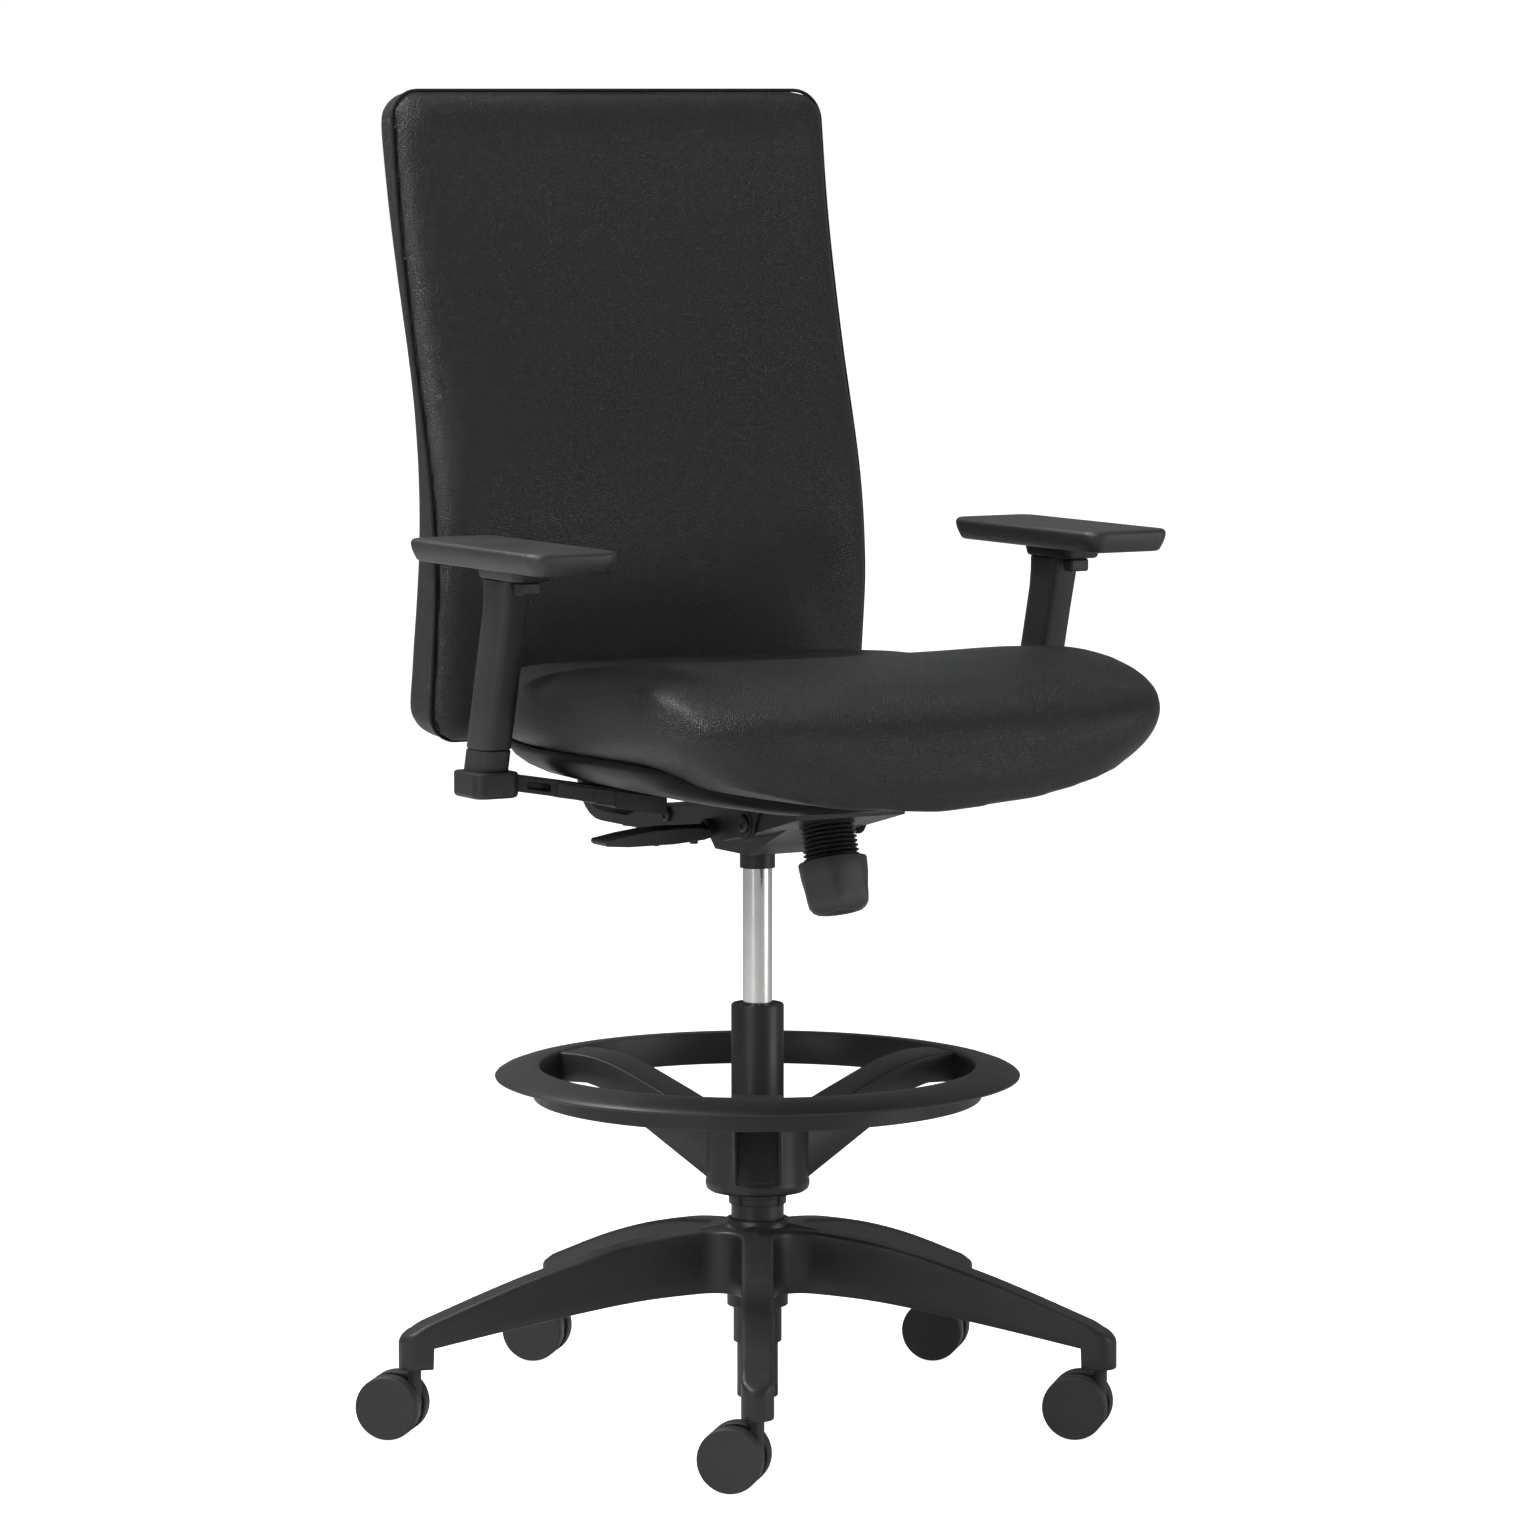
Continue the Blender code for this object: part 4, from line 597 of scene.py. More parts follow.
# %% Handling and dust
handling, begin, end = effect("handling", {"Patch Size": 9.0, "Scuffs": 0.5}, ["Patches", "Scuffs"])
place = object_place(handling)
patches = noise(handling, place, begin.outputs["Patch Size"], 3.0, 0.55)
broad = handling.nodes.new("ShaderNodeMapRange")
broad.inputs["From Min"].default_value = 0.38
broad.inputs["From Max"].default_value = 0.68
handling.links.new(patches, broad.inputs["Value"])
streak_a = noise(handling, object_place(handling, (40.0, 900.0, 240.0)), 1.0, 2.0, 0.6)
streak_b = noise(handling, object_place(handling, (900.0, 60.0, 300.0)), 1.0, 2.0, 0.6)
streaks = math_node(handling, "MAXIMUM", streak_a, streak_b)
sharp = handling.nodes.new("ShaderNodeMapRange")
sharp.inputs["From Min"].default_value = 0.66
sharp.inputs["From Max"].default_value = 0.78
handling.links.new(streaks, sharp.inputs["Value"])
scuffs = math_node(handling, "MULTIPLY", sharp.outputs["Result"], broad.outputs["Result"])
handling.links.new(broad.outputs["Result"], end.inputs["Patches"])
handling.links.new(math_node(handling, "MULTIPLY", scuffs, begin.outputs["Scuffs"]), end.inputs["Scuffs"])

dust, begin, end = effect("settled_dust", {"Amount": 0.3}, ["Mask"])
surface = dust.nodes.new("ShaderNodeNewGeometry")
split = dust.nodes.new("ShaderNodeSeparateXYZ")
dust.links.new(surface.outputs["Normal"], split.inputs["Vector"])
upward = dust.nodes.new("ShaderNodeMapRange")
upward.inputs["From Min"].default_value = 0.55
dust.links.new(split.outputs["Z"], upward.inputs["Value"])
cloud = noise(dust, object_place(dust), 26.0, 6.0, 0.65)
settled = math_node(dust, "MULTIPLY", upward.outputs["Result"], cloud)
dust.links.new(math_node(dust, "MULTIPLY", settled, begin.outputs["Amount"]), end.inputs["Mask"])
print("handling and dust ready")


# %% [markdown]
# One recipe then serves all the black finishes. Its colour is a mix of two close shades by the
# handling patches, scuffs and dust lift it a little, and its roughness follows them. The bump comes
# from whichever grain is passed in, at its own scale and depth.

# %% The recipe for a finish
def place_effect(tree, group, **values):
    """Put a node group in a material and set its inputs."""
    node = tree.nodes.new("ShaderNodeGroup")
    node.node_tree = group
    for label, value in values.items():
        node.inputs[label.replace("_", " ")].default_value = value
    return node


def mixed(tree, share, first, second):
    """Mix two colours, each a colour or a socket, by a share."""
    node = tree.nodes.new("ShaderNodeMix")
    node.data_type = "RGBA"
    tree.links.new(share, node.inputs["Factor"])
    for socket, value in zip((node.inputs[6], node.inputs[7]), (first, second)):
        if isinstance(value, bpy.types.NodeSocket):
            tree.links.new(value, socket)
        else:
            socket.default_value = (*value, 1.0)
    return node.outputs[2]


def ranged(tree, value, low_out, high_out):
    """Spread a 0 to 1 value between two ends."""
    node = tree.nodes.new("ShaderNodeMapRange")
    node.inputs["To Min"].default_value = low_out
    node.inputs["To Max"].default_value = high_out
    tree.links.new(value, node.inputs["Value"])
    return node.outputs["Result"]


def black_finish(name, shade, grain, scale, depth, rough, gloss=0.5, scuff=0.4, dusting=0.15):
    """A black finish: close shades, a grain, light handling and settled dust."""
    material = bpy.data.materials.new(name)
    material.use_nodes = True
    tree = material.node_tree
    shader = tree.nodes["Principled BSDF"]
    shader.inputs["Specular IOR Level"].default_value = gloss
    texture = place_effect(tree, grain, Scale=scale)
    used = place_effect(tree, handling, Scuffs=scuff)
    settled = place_effect(tree, dust, Amount=dusting)
    lighter = tuple(v * 1.28 for v in shade)
    worn = tuple(v * 2.2 + 0.012 for v in shade)
    colour = mixed(tree, used.outputs["Patches"], shade, lighter)
    colour = mixed(tree, used.outputs["Scuffs"], colour, worn)
    colour = mixed(tree, settled.outputs["Mask"], colour, (0.16, 0.155, 0.15))
    tree.links.new(colour, shader.inputs["Base Color"])
    roughness = ranged(tree, used.outputs["Patches"], rough - 0.03, rough + 0.05)
    rubbed = math_node(tree, "MULTIPLY", used.outputs["Scuffs"], 0.2)
    roughness = math_node(tree, "ADD", roughness, rubbed)
    roughness = math_node(tree, "ADD", roughness, settled.outputs["Mask"], clamp=True)
    tree.links.new(roughness, shader.inputs["Roughness"])
    bump = tree.nodes.new("ShaderNodeBump")
    bump.inputs["Strength"].default_value = 1.0
    bump.inputs["Distance"].default_value = depth
    tree.links.new(texture.outputs["Height"], bump.inputs["Height"])
    tree.links.new(bump.outputs["Normal"], shader.inputs["Normal"])
    return material


UPHOLSTERY = black_finish(
    "black_upholstery", (0.0078, 0.0094, 0.0086), hide_print,
    scale=500.0, depth=0.00032, rough=0.37, gloss=0.52, scuff=0.1, dusting=0.02,
)
BASE_NYLON = black_finish(
    "base_nylon", (0.0160, 0.0160, 0.0165), mould_grain,
    scale=700.0, depth=0.00012, rough=0.40,
)
CASTOR_NYLON = black_finish(
    "castor_nylon", (0.0240, 0.0240, 0.0245), mould_grain,
    scale=900.0, depth=0.00010, rough=0.50,
)
PLASTIC = black_finish(
    "black_plastic", (0.0205, 0.0205, 0.0210), mould_grain,
    scale=1000.0, depth=0.00009, rough=0.48,
)
PAD_SKIN = black_finish(
    "arm_pad_skin", (0.0180, 0.0180, 0.0186), mould_grain,
    scale=800.0, depth=0.00030, rough=0.42, gloss=0.75,
)
POWDER = black_finish("powder_coat", (0.0100, 0.0100, 0.0104), peel, scale=420.0, depth=0.00010, rough=0.42)
TUBE_PAINT = black_finish(
    "tube_paint", (0.0150, 0.0150, 0.0155), peel,
    scale=520.0, depth=0.00006, rough=0.38,
)
DARK_PLASTIC = black_finish(
    "sharp_black_plastic", (0.0130, 0.0130, 0.0133), mould_grain,
    scale=1000.0, depth=0.00006, rough=0.45, gloss=0.45, scuff=0.2, dusting=0.05,
)
KNOB_PLASTIC = black_finish(
    "knob_plastic", (0.0520, 0.0520, 0.0526), mould_grain,
    scale=900.0, depth=0.00012, rough=0.52,
)
PAN_PLASTIC = black_finish(
    "pan_plastic", (0.0070, 0.0070, 0.0073), mould_grain,
    scale=700.0, depth=0.00006, rough=0.36, gloss=0.10,
)
POST_PLASTIC = black_finish(
    "post_plastic", (0.0190, 0.0190, 0.0195), mould_grain,
    scale=900.0, depth=0.00009, rough=0.42,
)
SEAM_THREAD = black_finish(
    "seam_thread", (0.0100, 0.0112, 0.0106), hide_print,
    scale=900.0, depth=0.00010, rough=0.62, gloss=0.22, scuff=0.0, dusting=0.0,
)
print("black finishes ready")


# %% [markdown]
# The lift's cylinder is ground and plated, so it mirrors the room in upright bands, with very fine
# marks along its length where it slides through its bush. The small springs, pins and rods inside
# are plain zinc-plated steel: duller, with a mottled bloom.

# %% Plated steel
def metal_finish(name, colour, stretch, fine_scale, rough, depth):
    """A bare or plated metal with marks drawn out along one direction."""
    material = bpy.data.materials.new(name)
    material.use_nodes = True
    tree = material.node_tree
    shader = tree.nodes["Principled BSDF"]
    shader.inputs["Metallic"].default_value = 1.0
    marks = noise(tree, object_place(tree, stretch), fine_scale, 3.0, 0.6)
    used = place_effect(tree, handling, Scuffs=0.3)
    darker = tuple(v * 0.86 for v in colour)
    tree.links.new(mixed(tree, used.outputs["Patches"], colour, darker), shader.inputs["Base Color"])
    roughness = ranged(tree, marks, rough - 0.05, rough + 0.06)
    roughness = math_node(tree, "ADD", roughness, used.outputs["Scuffs"])
    tree.links.new(roughness, shader.inputs["Roughness"])
    bump = tree.nodes.new("ShaderNodeBump")
    bump.inputs["Distance"].default_value = depth
    tree.links.new(marks, bump.inputs["Height"])
    tree.links.new(bump.outputs["Normal"], shader.inputs["Normal"])
    return material


CHROME = metal_finish("ground_chrome", (0.93, 0.915, 0.895), (1.0, 1.0, 0.01), 1400.0, 0.15, 0.00001)
STEEL = metal_finish("zinc_steel", (0.50, 0.50, 0.51), (1.0, 1.0, 1.0), 500.0, 0.36, 0.00003)
print("metals ready")


# %% [markdown]
# The floor is the end of a paper sweep. It has a faint fibre, and it glows for the camera alone, so
# the picture's ground is clean white while the chair is lit only by the panels and the dome.

# %% Paper sweep
sweep = bpy.data.materials.new("white_sweep")
sweep.use_nodes = True
paper_shader = sweep.node_tree.nodes["Principled BSDF"]
paper_shader.inputs["Roughness"].default_value = 0.9
paper_shader.inputs["Specular IOR Level"].default_value = 0.0
paper_shader.inputs["Emission Color"].default_value = (1.0, 1.0, 1.0, 1.0)
paper_glow = sweep.node_tree.nodes.new("ShaderNodeLightPath")
glow = math_node(sweep.node_tree, "MULTIPLY", paper_glow.outputs["Is Camera Ray"], 1.0)
sweep.node_tree.links.new(glow, paper_shader.inputs["Emission Strength"])
fibre = noise(sweep.node_tree, object_place(sweep.node_tree), 3.0, 4.0)
paper_colour = mixed(sweep.node_tree, fibre, (0.80, 0.80, 0.80), (0.84, 0.84, 0.84))
sweep.node_tree.links.new(paper_colour, paper_shader.inputs["Base Color"])
floor.data.materials.append(sweep)
print("materials:", sorted(material.name for material in bpy.data.materials if material.users))


# %% [markdown]
# ## The five-star base
#
# The real base is one nylon moulding: five legs that arch down from a hub, with tall smooth sides, a
# soft rounded top edge, generous round corners between the legs, and a hollow underside. Cutting
# that from blocks gives hard corners that are difficult to round afterwards. We roll it instead:
# every ring is the same star plan, moved in or out a little, so the round edge comes free.

# %% Plan of the star
LEG_COUNT = 5
LEG_STEP = 360 / LEG_COUNT
FIRST_LEG = -30.0
STEM_CIRCLE = 0.337
LEG_HALF = 0.015
LEG_FILLET = 0.030
SOCKET_END = 0.065
SOCKET_IN = STEM_CIRCLE - LEG_HALF
EDGE_R = 0.0042
LEG_WALL = 0.0045
corner_r = (LEG_HALF + LEG_FILLET) / sin(pi / LEG_COUNT)
side_from = corner_r * cos(pi / LEG_COUNT)
plain = [side_from + (SOCKET_IN - side_from) * i / 17 for i in range(17)]
STATIONS = plain + [SOCKET_IN - 0.0004, SOCKET_IN + 0.0004, STEM_CIRCLE - 0.009, STEM_CIRCLE - 0.004]
STATIONS.append(STEM_CIRCLE)


def star_plan(inset):
    """The star's outline moved in by an inset: (x, y, is it in the socket)."""
    points = []
    inner = LEG_HALF - inset
    for k in range(LEG_COUNT):
        heading = radians(FIRST_LEG - 90 + k * LEG_STEP)
        along = Vector((cos(heading), sin(heading)))
        across = Vector((-sin(heading), cos(heading)))
        for sign, stations in ((-1, STATIONS), (0, None), (1, STATIONS[::-1])):
            if stations is None:
                for i in range(1, 12):
                    turn = heading - pi / 2 + pi * i / 12
                    tip = along * STEM_CIRCLE + Vector((cos(turn), sin(turn))) * inner
                    points.append((tip.x, tip.y, True))
                continue
            for s in stations:
                spot = along * s + across * sign * inner
                points.append((spot.x, spot.y, s > SOCKET_IN))
        middle = heading + pi / LEG_COUNT
        opening = pi / 2 - pi / LEG_COUNT
        centre = Vector((cos(middle), sin(middle))) * corner_r
        for i in range(1, 14):
            turn = middle + pi + opening - 2 * opening * i / 14
            spot = centre + Vector((cos(turn), sin(turn))) * (LEG_FILLET + inset)
            points.append((spot.x, spot.y, False))
    return points


print("points round the star:", len(star_plan(0.0)))


# %% [markdown]
# The crown and the underside are two heights that depend only on the distance from the column. Near
# the tip the crown turns down into the castor's socket, which gives the scooped end of each leg.

# %% Roll the star
CROWN = [(0.025, 0.184), (0.12, 0.173), (0.22, 0.147), (STEM_CIRCLE, 0.1045)]
BELLY = [(0.029, 0.123), (0.12, 0.118), (0.22, 0.103), (STEM_CIRCLE, 0.082)]


def crown(x, y):
    """Height of the legs' top."""
    distance = sqrt(x * x + y * y)
    droop = max(distance - (STEM_CIRCLE - 0.012), 0.0) / 0.027
    return eased(CROWN, distance) - 0.011 * droop * droop


def belly(x, y, in_socket):
    """Height of the legs' lower edge."""
    return SOCKET_END if in_socket else eased(BELLY, sqrt(x * x + y * y))


star_rings = []
for inset in (LEG_HALF, 0.0100, 0.0065):
    star_rings.append([(x, y, crown(x, y)) for x, y, _ in star_plan(inset)])
for i in range(7):
    turn = pi / 2 * i / 6
    inset = EDGE_R * (1 - sin(turn))
    drop = EDGE_R * (1 - cos(turn))
    star_rings.append([(x, y, crown(x, y) - drop) for x, y, _ in star_plan(inset)])
for share in (0.25, 0.5, 0.75):
    ring = []
    for x, y, in_socket in star_plan(0.0):
        top = crown(x, y) - EDGE_R
        ring.append((x, y, top + share * (belly(x, y, in_socket) + 0.0012 - top)))
    star_rings.append(ring)
for inset, lift in ((0.0, 0.0012), (0.0004, 0.0004), (0.0012, 0.0), (LEG_WALL - 0.0004, 0.0)):
    star_rings.append([(x, y, belly(x, y, s) + lift) for x, y, s in star_plan(inset)])
for inset in (LEG_WALL, LEG_WALL + 0.0006, LEG_HALF):
    ring = []
    for x, y, in_socket in star_plan(inset):
        roof = SOCKET_END if in_socket else crown(x, y) - LEG_WALL
        if not in_socket and inset == LEG_WALL:
            roof = belly(x, y, in_socket) + 0.002
        ring.append((x, y, roof))
    star_rings.append(ring)
star = rolled("star_base_moulding", star_rings, capped=False)
print("legs rolled:", len(star.data.polygons))


# %% [markdown]
# The middle of the star is still open, above and below. One more rolled strip closes it. It starts
# on the five corner arcs of the top, runs up to the collar, down the bore, out under the boss and
# sleeve, and back to the same arcs under the roof of the legs.

# %% Hub of the star
def middle_arcs(drop):
    """The five corner arcs at the legs' centre lines, in order round the hub."""
    plan = star_plan(LEG_HALF)
    per_leg = len(plan) // LEG_COUNT
    points = []
    for k in range(LEG_COUNT):
        leg = plan[k * per_leg : (k + 1) * per_leg]
        points += [leg[-14]] + leg[-13:]
    return [(x, y, crown(x, y) - drop) for x, y, _ in points]


def hub_ring(radius, height):
    """A round ring with as many points as the arcs have."""
    ring = []
    for x, y, _ in middle_arcs(0.0):
        scale = radius / sqrt(x * x + y * y)
        ring.append((x * scale, y * scale, height))
    return ring


low, high = reach("star_base")
bore = reach("column_tube")[1].x + 0.0003
foot_bore = 0.0198
hub_rings = [middle_arcs(0.0), hub_ring(0.0316, 0.1855), hub_ring(0.0306, 0.1885)]
hub_rings.append(hub_ring(0.0292, 0.1899))
hub_rings += [hub_ring(bore + 0.0008, high.z), hub_ring(bore, high.z - 0.0008), hub_ring(bore, 0.1397)]
hub_rings += [hub_ring(foot_bore, 0.1397), hub_ring(foot_bore, 0.071), hub_ring(0.0222, 0.071)]
hub_rings += [hub_ring(0.023, 0.0718), hub_ring(0.023, 0.106), hub_ring(0.0282, 0.106)]
hub_rings += [hub_ring(0.029, 0.1068), hub_ring(0.029, 0.177), middle_arcs(LEG_WALL)]
hub = rolled("star_hub", hub_rings, capped=False)
only(hub)
star.select_set(True)
bpy.context.view_layer.objects.active = star
bpy.ops.object.join()
tidy(star)
smooth(star, 38)

RIBS_AT = (0.098, 0.160, 0.222, 0.276)
RIB_SIZE = (2 * (LEG_HALF - LEG_WALL) + 0.002, 0.0025, 0.030)
RIB_LIFT = 0.019
ribs = []
for k in range(LEG_COUNT):
    for at in RIBS_AT:
        rib = block(f"leg_rib_{k}_{at}", RIB_SIZE, (0.0, -at, eased(BELLY, at) + RIB_LIFT))
        settle(rib, azimuth(FIRST_LEG + LEG_STEP * k))
        ribs.append(rib)
only(star)
for rib in ribs:
    rib.select_set(True)
bpy.ops.object.join()
settle(star, TO_COLUMN)
hand_over(star, "base", "base_nylon", BASE_NYLON, "star_base")


# %% [markdown]
# ## Castors
#
# A twin-wheel castor is two flat discs with a hood between them. The wheels are plain turned pieces:
# a broad, nearly flat face with a fine rolled rim, a shallow groove where the tread sleeve begins,
# and a hollow inner side. The hood is a band spun only part of the way round the axle, with two
# grooves, and it runs up into the pin's boss. We model one castor with its axle at hand, and copy it.

# %% One wheel and one hood
WHEEL_R = 0.030
WHEEL_WIDTH = 0.0165
CASTOR_HALF = 0.0235
TRAIL = 0.0215
CASTOR_TURN = -43.0
wheel_profile = [
    (0.0, 0.0139), (0.0031, 0.0139), (0.0031, 0.0010), (0.0058, 0.0010), (0.0066, 0.0052),
    (0.0236, 0.0046), (0.0256, 0.0006), (0.0286, 0.0), (0.0295, 0.0005), (0.0300, 0.0016),
    (0.0300, 0.0112), (0.0297, 0.0116), (0.0297, 0.0121), (0.0300, 0.0125), (0.0300, 0.0145),
    (0.0296, 0.0157), (0.0288, 0.0164), (0.0279, WHEEL_WIDTH), (0.0272, 0.0163), (0.0262, 0.0162),
    (0.0, 0.0163),
]
wheel = turned("castor_wheel", wheel_profile, 96)

hood_profile = [
    (0.0075, -0.0066), (0.0262, -0.0066), (0.0270, -0.0064), (0.0275, -0.0058), (0.0275, -0.0030),
    (0.0268, -0.0027), (0.0268, -0.0019), (0.0275, -0.0016), (0.0275, 0.0016), (0.0268, 0.0019),
    (0.0268, 0.0027), (0.0275, 0.0030), (0.0275, 0.0058), (0.0270, 0.0064), (0.0262, 0.0066),
    (0.0075, 0.0066),
]
hood = turned("castor_hood", hood_profile, 72, radians(192), radians(-12))
cap_ends(hood)
ON_AXLE = Matrix.Translation((-TRAIL, 0, WHEEL_R)) @ Matrix.Rotation(pi / 2, 4, "X")
settle(hood, ON_AXLE)
boss = turned(
    "hood_boss",
    [(0.0, 0.064), (0.0054, 0.064), (0.0062, 0.0632), (0.0062, 0.040), (0.0064, 0.030), (0.0, 0.030)],
    48,
)
hub_pin = turned("hood_hub", [(0.0, -0.0066), (0.0095, -0.0066), (0.0095, 0.0066), (0.0, 0.0066)], 48)
settle(hub_pin, ON_AXLE)
WEB_HALF = 0.0022
web_side = [(-TRAIL - 0.004, WHEEL_R - 0.003), (0.001, WHEEL_R + 0.001), (0.0045, 0.046)]
web_side += [(-0.006, 0.052), (-TRAIL, 0.054)]
web = slab("hood_web", web_side, -WEB_HALF, WEB_HALF, STAND_FRONT)
weld(hood, boss, hub_pin, web)
ease_edges(hood, 0.0004, 2, 40)
print("wheel and hood:", len(wheel.data.polygons), len(hood.data.polygons))


# %% [markdown]
# All five castors trail the same way, as they do after the chair has been rolled. Each copy gets a
# mesh of its own and rides its own body, so every hood can swivel and every wheel can roll.

# %% Five castors
for k in range(LEG_COUNT):
    foot = azimuth(FIRST_LEG + LEG_STEP * k) @ Vector((0, -STEM_CIRCLE, 0))
    stand = TO_COLUMN @ Matrix.Translation(foot) @ azimuth(CASTOR_TURN)
    piece = copied(hood, f"castor_{k + 1}_cover")
    settle(piece, stand)
    hand_over(piece, f"castor_{k + 1}", "castor_nylon", CASTOR_NYLON, f"castor_{k + 1}_hood")
    for side, tag in ((-1, "near"), (1, "far")):
        piece = copied(wheel, f"castor_{k + 1}_disc_{tag}")
        face_out = Matrix.Rotation(-side * pi / 2, 4, "X")
        offset = Matrix.Translation((-TRAIL, side * (CASTOR_HALF - WHEEL_WIDTH), WHEEL_R))
        settle(piece, stand @ offset @ face_out)
        solid = f"castor_{k + 1}_wheel_{tag}"
        hand_over(piece, f"wheel_{k + 1}_{tag}", "castor_nylon", CASTOR_NYLON, solid)
for spare in (wheel, hood):
    bpy.data.objects.remove(spare)


# %% [markdown]
# ## Column and cylinder
#
# The outer tube is powder-coated steel with a rolled top, and a nylon bush shows inside its mouth.
# The cylinder that rises from it is ground and plated. Both are turned, with many steps, because a
# mirror finish shows every facet.

# %% Tube, bush and cylinder
low, high = reach("column_tube")
tube_r = high.x
tube = turned(
    "column_outer_tube",
    [
        (tube_r - 0.0016, high.z), (tube_r - 0.0006, high.z - 0.0005), (tube_r, high.z - 0.0018),
        (tube_r, 0.1400), (0.0195, 0.1400), (0.0195, low.z + 0.001), (0.0185, low.z),
        (0.0160, low.z), (0.0160, 0.1440), (0.0222, 0.1460), (0.0222, high.z - 0.0012),
        (0.0228, high.z - 0.0003),
    ],
    128,
)
settle(tube, TO_COLUMN)
hand_over(tube, "base", "column_black", TUBE_PAINT, "column_tube")

low, high = reach("guide_bush")
bush = turned(
    "column_bush",
    [
        (high.x, high.z - 0.0008), (high.x, low.z), (0.0144, low.z), (0.0144, high.z - 0.0010),
        (0.0149, high.z - 0.0002), (0.0180, high.z), (0.0186, high.z - 0.0006),
        (0.0206, high.z - 0.0006), (0.0212, high.z),
    ],
    96,
)
settle(bush, TO_COLUMN)
hand_over(bush, "base", "black_plastic", PLASTIC, "guide_bush")

low, high = reach("gas_cylinder")
rod_r = high.x
cylinder = turned(
    "lift_cylinder",
    [
        (0.0040, high.z), (rod_r - 0.0012, high.z), (rod_r, high.z - 0.0012),
        (rod_r, low.z + 0.0010), (rod_r - 0.0008, low.z), (rod_r - 0.0025, low.z),
        (rod_r - 0.0025, high.z - 0.030), (0.0040, high.z - 0.026),
    ],
    160,
)
settle(cylinder, TO_COLUMN)
hand_over(cylinder, "lift", "cylinder_chrome", CHROME, "gas_cylinder")


# %% [markdown]
# ## Foot ring
#
# The ring is a nylon moulding too. Its tread is a thin domed lip that slopes outwards, with a deeper
# wall under its inner part, and three arched channels carry it down to a hub that clamps the tube.
# The lip and hub are turned. Each spoke is a slab drawn in side view, rounded along its edges and
# then hollowed from below, which leaves the two thin webs that show under the ring.

# %% Ring, spokes and hub
low, high = reach("foot_ring")
RING_R = high.x
RING_TOP = high.z
INNER_R = 0.206
SKIRT_END = 0.3055
HUB_END = low.z
HUB_TOP = 0.292
HUB_R = 0.0495
ring = turned(
    "foot_ring_moulding",
    [
        (INNER_R, RING_TOP - 0.0026), (INNER_R + 0.0008, RING_TOP - 0.0009),
        (INNER_R + 0.0026, RING_TOP), (INNER_R + 0.010, RING_TOP - 0.0002),
        (INNER_R + 0.020, RING_TOP - 0.0014), (INNER_R + 0.030, RING_TOP - 0.0036),
        (INNER_R + 0.038, RING_TOP - 0.0064), (RING_R - 0.0012, RING_TOP - 0.0084),
        (RING_R, RING_TOP - 0.0098), (RING_R - 0.0006, RING_TOP - 0.0114),
        (RING_R - 0.0020, RING_TOP - 0.0120), (RING_R - 0.009, RING_TOP - 0.0098),
        (INNER_R + 0.022, RING_TOP - 0.0070), (INNER_R + 0.0085, RING_TOP - 0.0064),
        (INNER_R + 0.0066, RING_TOP - 0.0090), (INNER_R + 0.0062, SKIRT_END + 0.0008),
        (INNER_R + 0.0054, SKIRT_END), (INNER_R + 0.0012, SKIRT_END),
        (INNER_R + 0.0004, SKIRT_END + 0.0008),
    ],
    180,
)
tube_gap = tube_r + 0.0003
ring_hub = turned(
    "ring_hub",
    [
        (tube_gap, HUB_TOP), (HUB_R - 0.0065, HUB_TOP), (HUB_R - 0.0030, HUB_TOP - 0.0016),
        (HUB_R - 0.0018, HUB_TOP - 0.0050), (HUB_R - 0.0016, HUB_END + 0.0125),
        (HUB_R - 0.0002, HUB_END + 0.0105), (HUB_R, HUB_END + 0.0060),
        (HUB_R - 0.0012, HUB_END + 0.0022), (HUB_R - 0.0042, HUB_END), (tube_gap, HUB_END),
    ],
    120,
)
SPOKE_HALF = 0.023
SPOKE_WALL = 0.0034
join_r = INNER_R + 0.003
spoke_top = [(0.030, HUB_TOP - 0.0060), (0.050, HUB_TOP - 0.0045), (0.090, 0.3045), (0.140, 0.3255)]
spoke_top += [(0.172, 0.3338), (join_r, RING_TOP - 0.0016)]
crest = [(r, eased(spoke_top, r)) for r in [0.030 + (join_r - 0.030) * i / 26 for i in range(27)]]
belly_line = [(join_r, SKIRT_END + 0.0012), (0.176, 0.3075), (0.160, 0.3035)]
belly_line += [(0.117, 0.2735), (0.030, 0.2195)]
spokes = []
hollows = []
for k in range(3):
    outline = [(-r, z) for r, z in crest + belly_line]
    spoke = slab(f"ring_spoke_{k}", outline, -SPOKE_HALF, SPOKE_HALF, STAND_SIDE)
    ease_edges(spoke, 0.0018, 3, 40)
    roof = [(-r, z - SPOKE_WALL) for r, z in crest if HUB_R + 0.004 < r < INNER_R - 0.017]
    roof = [(-HUB_R - 0.002, roof[0][1] - 0.001)] + roof + [(-INNER_R + 0.016, 0.19), (-HUB_R - 0.002, 0.19)]
    half = SPOKE_HALF - SPOKE_WALL
    hollow = slab(f"spoke_hollow_{k}", roof, -half, half, STAND_SIDE)
    for part in (spoke, hollow):
        settle(part, azimuth(FIRST_LEG + 120 * k))
    spokes.append(spoke)
    hollows.append(hollow)
weld(ring, ring_hub, *spokes)
carve(ring, *hollows)
bore_tool = turned("ring_bore", [(0.0, 0.35), (tube_gap, 0.35), (tube_gap, 0.18), (0.0, 0.18)], 96)
carve(ring, bore_tool)
smooth(ring, 32)
settle(ring, TO_COLUMN)
hand_over(ring, "foot_ring", "base_nylon", BASE_NYLON, "foot_ring")


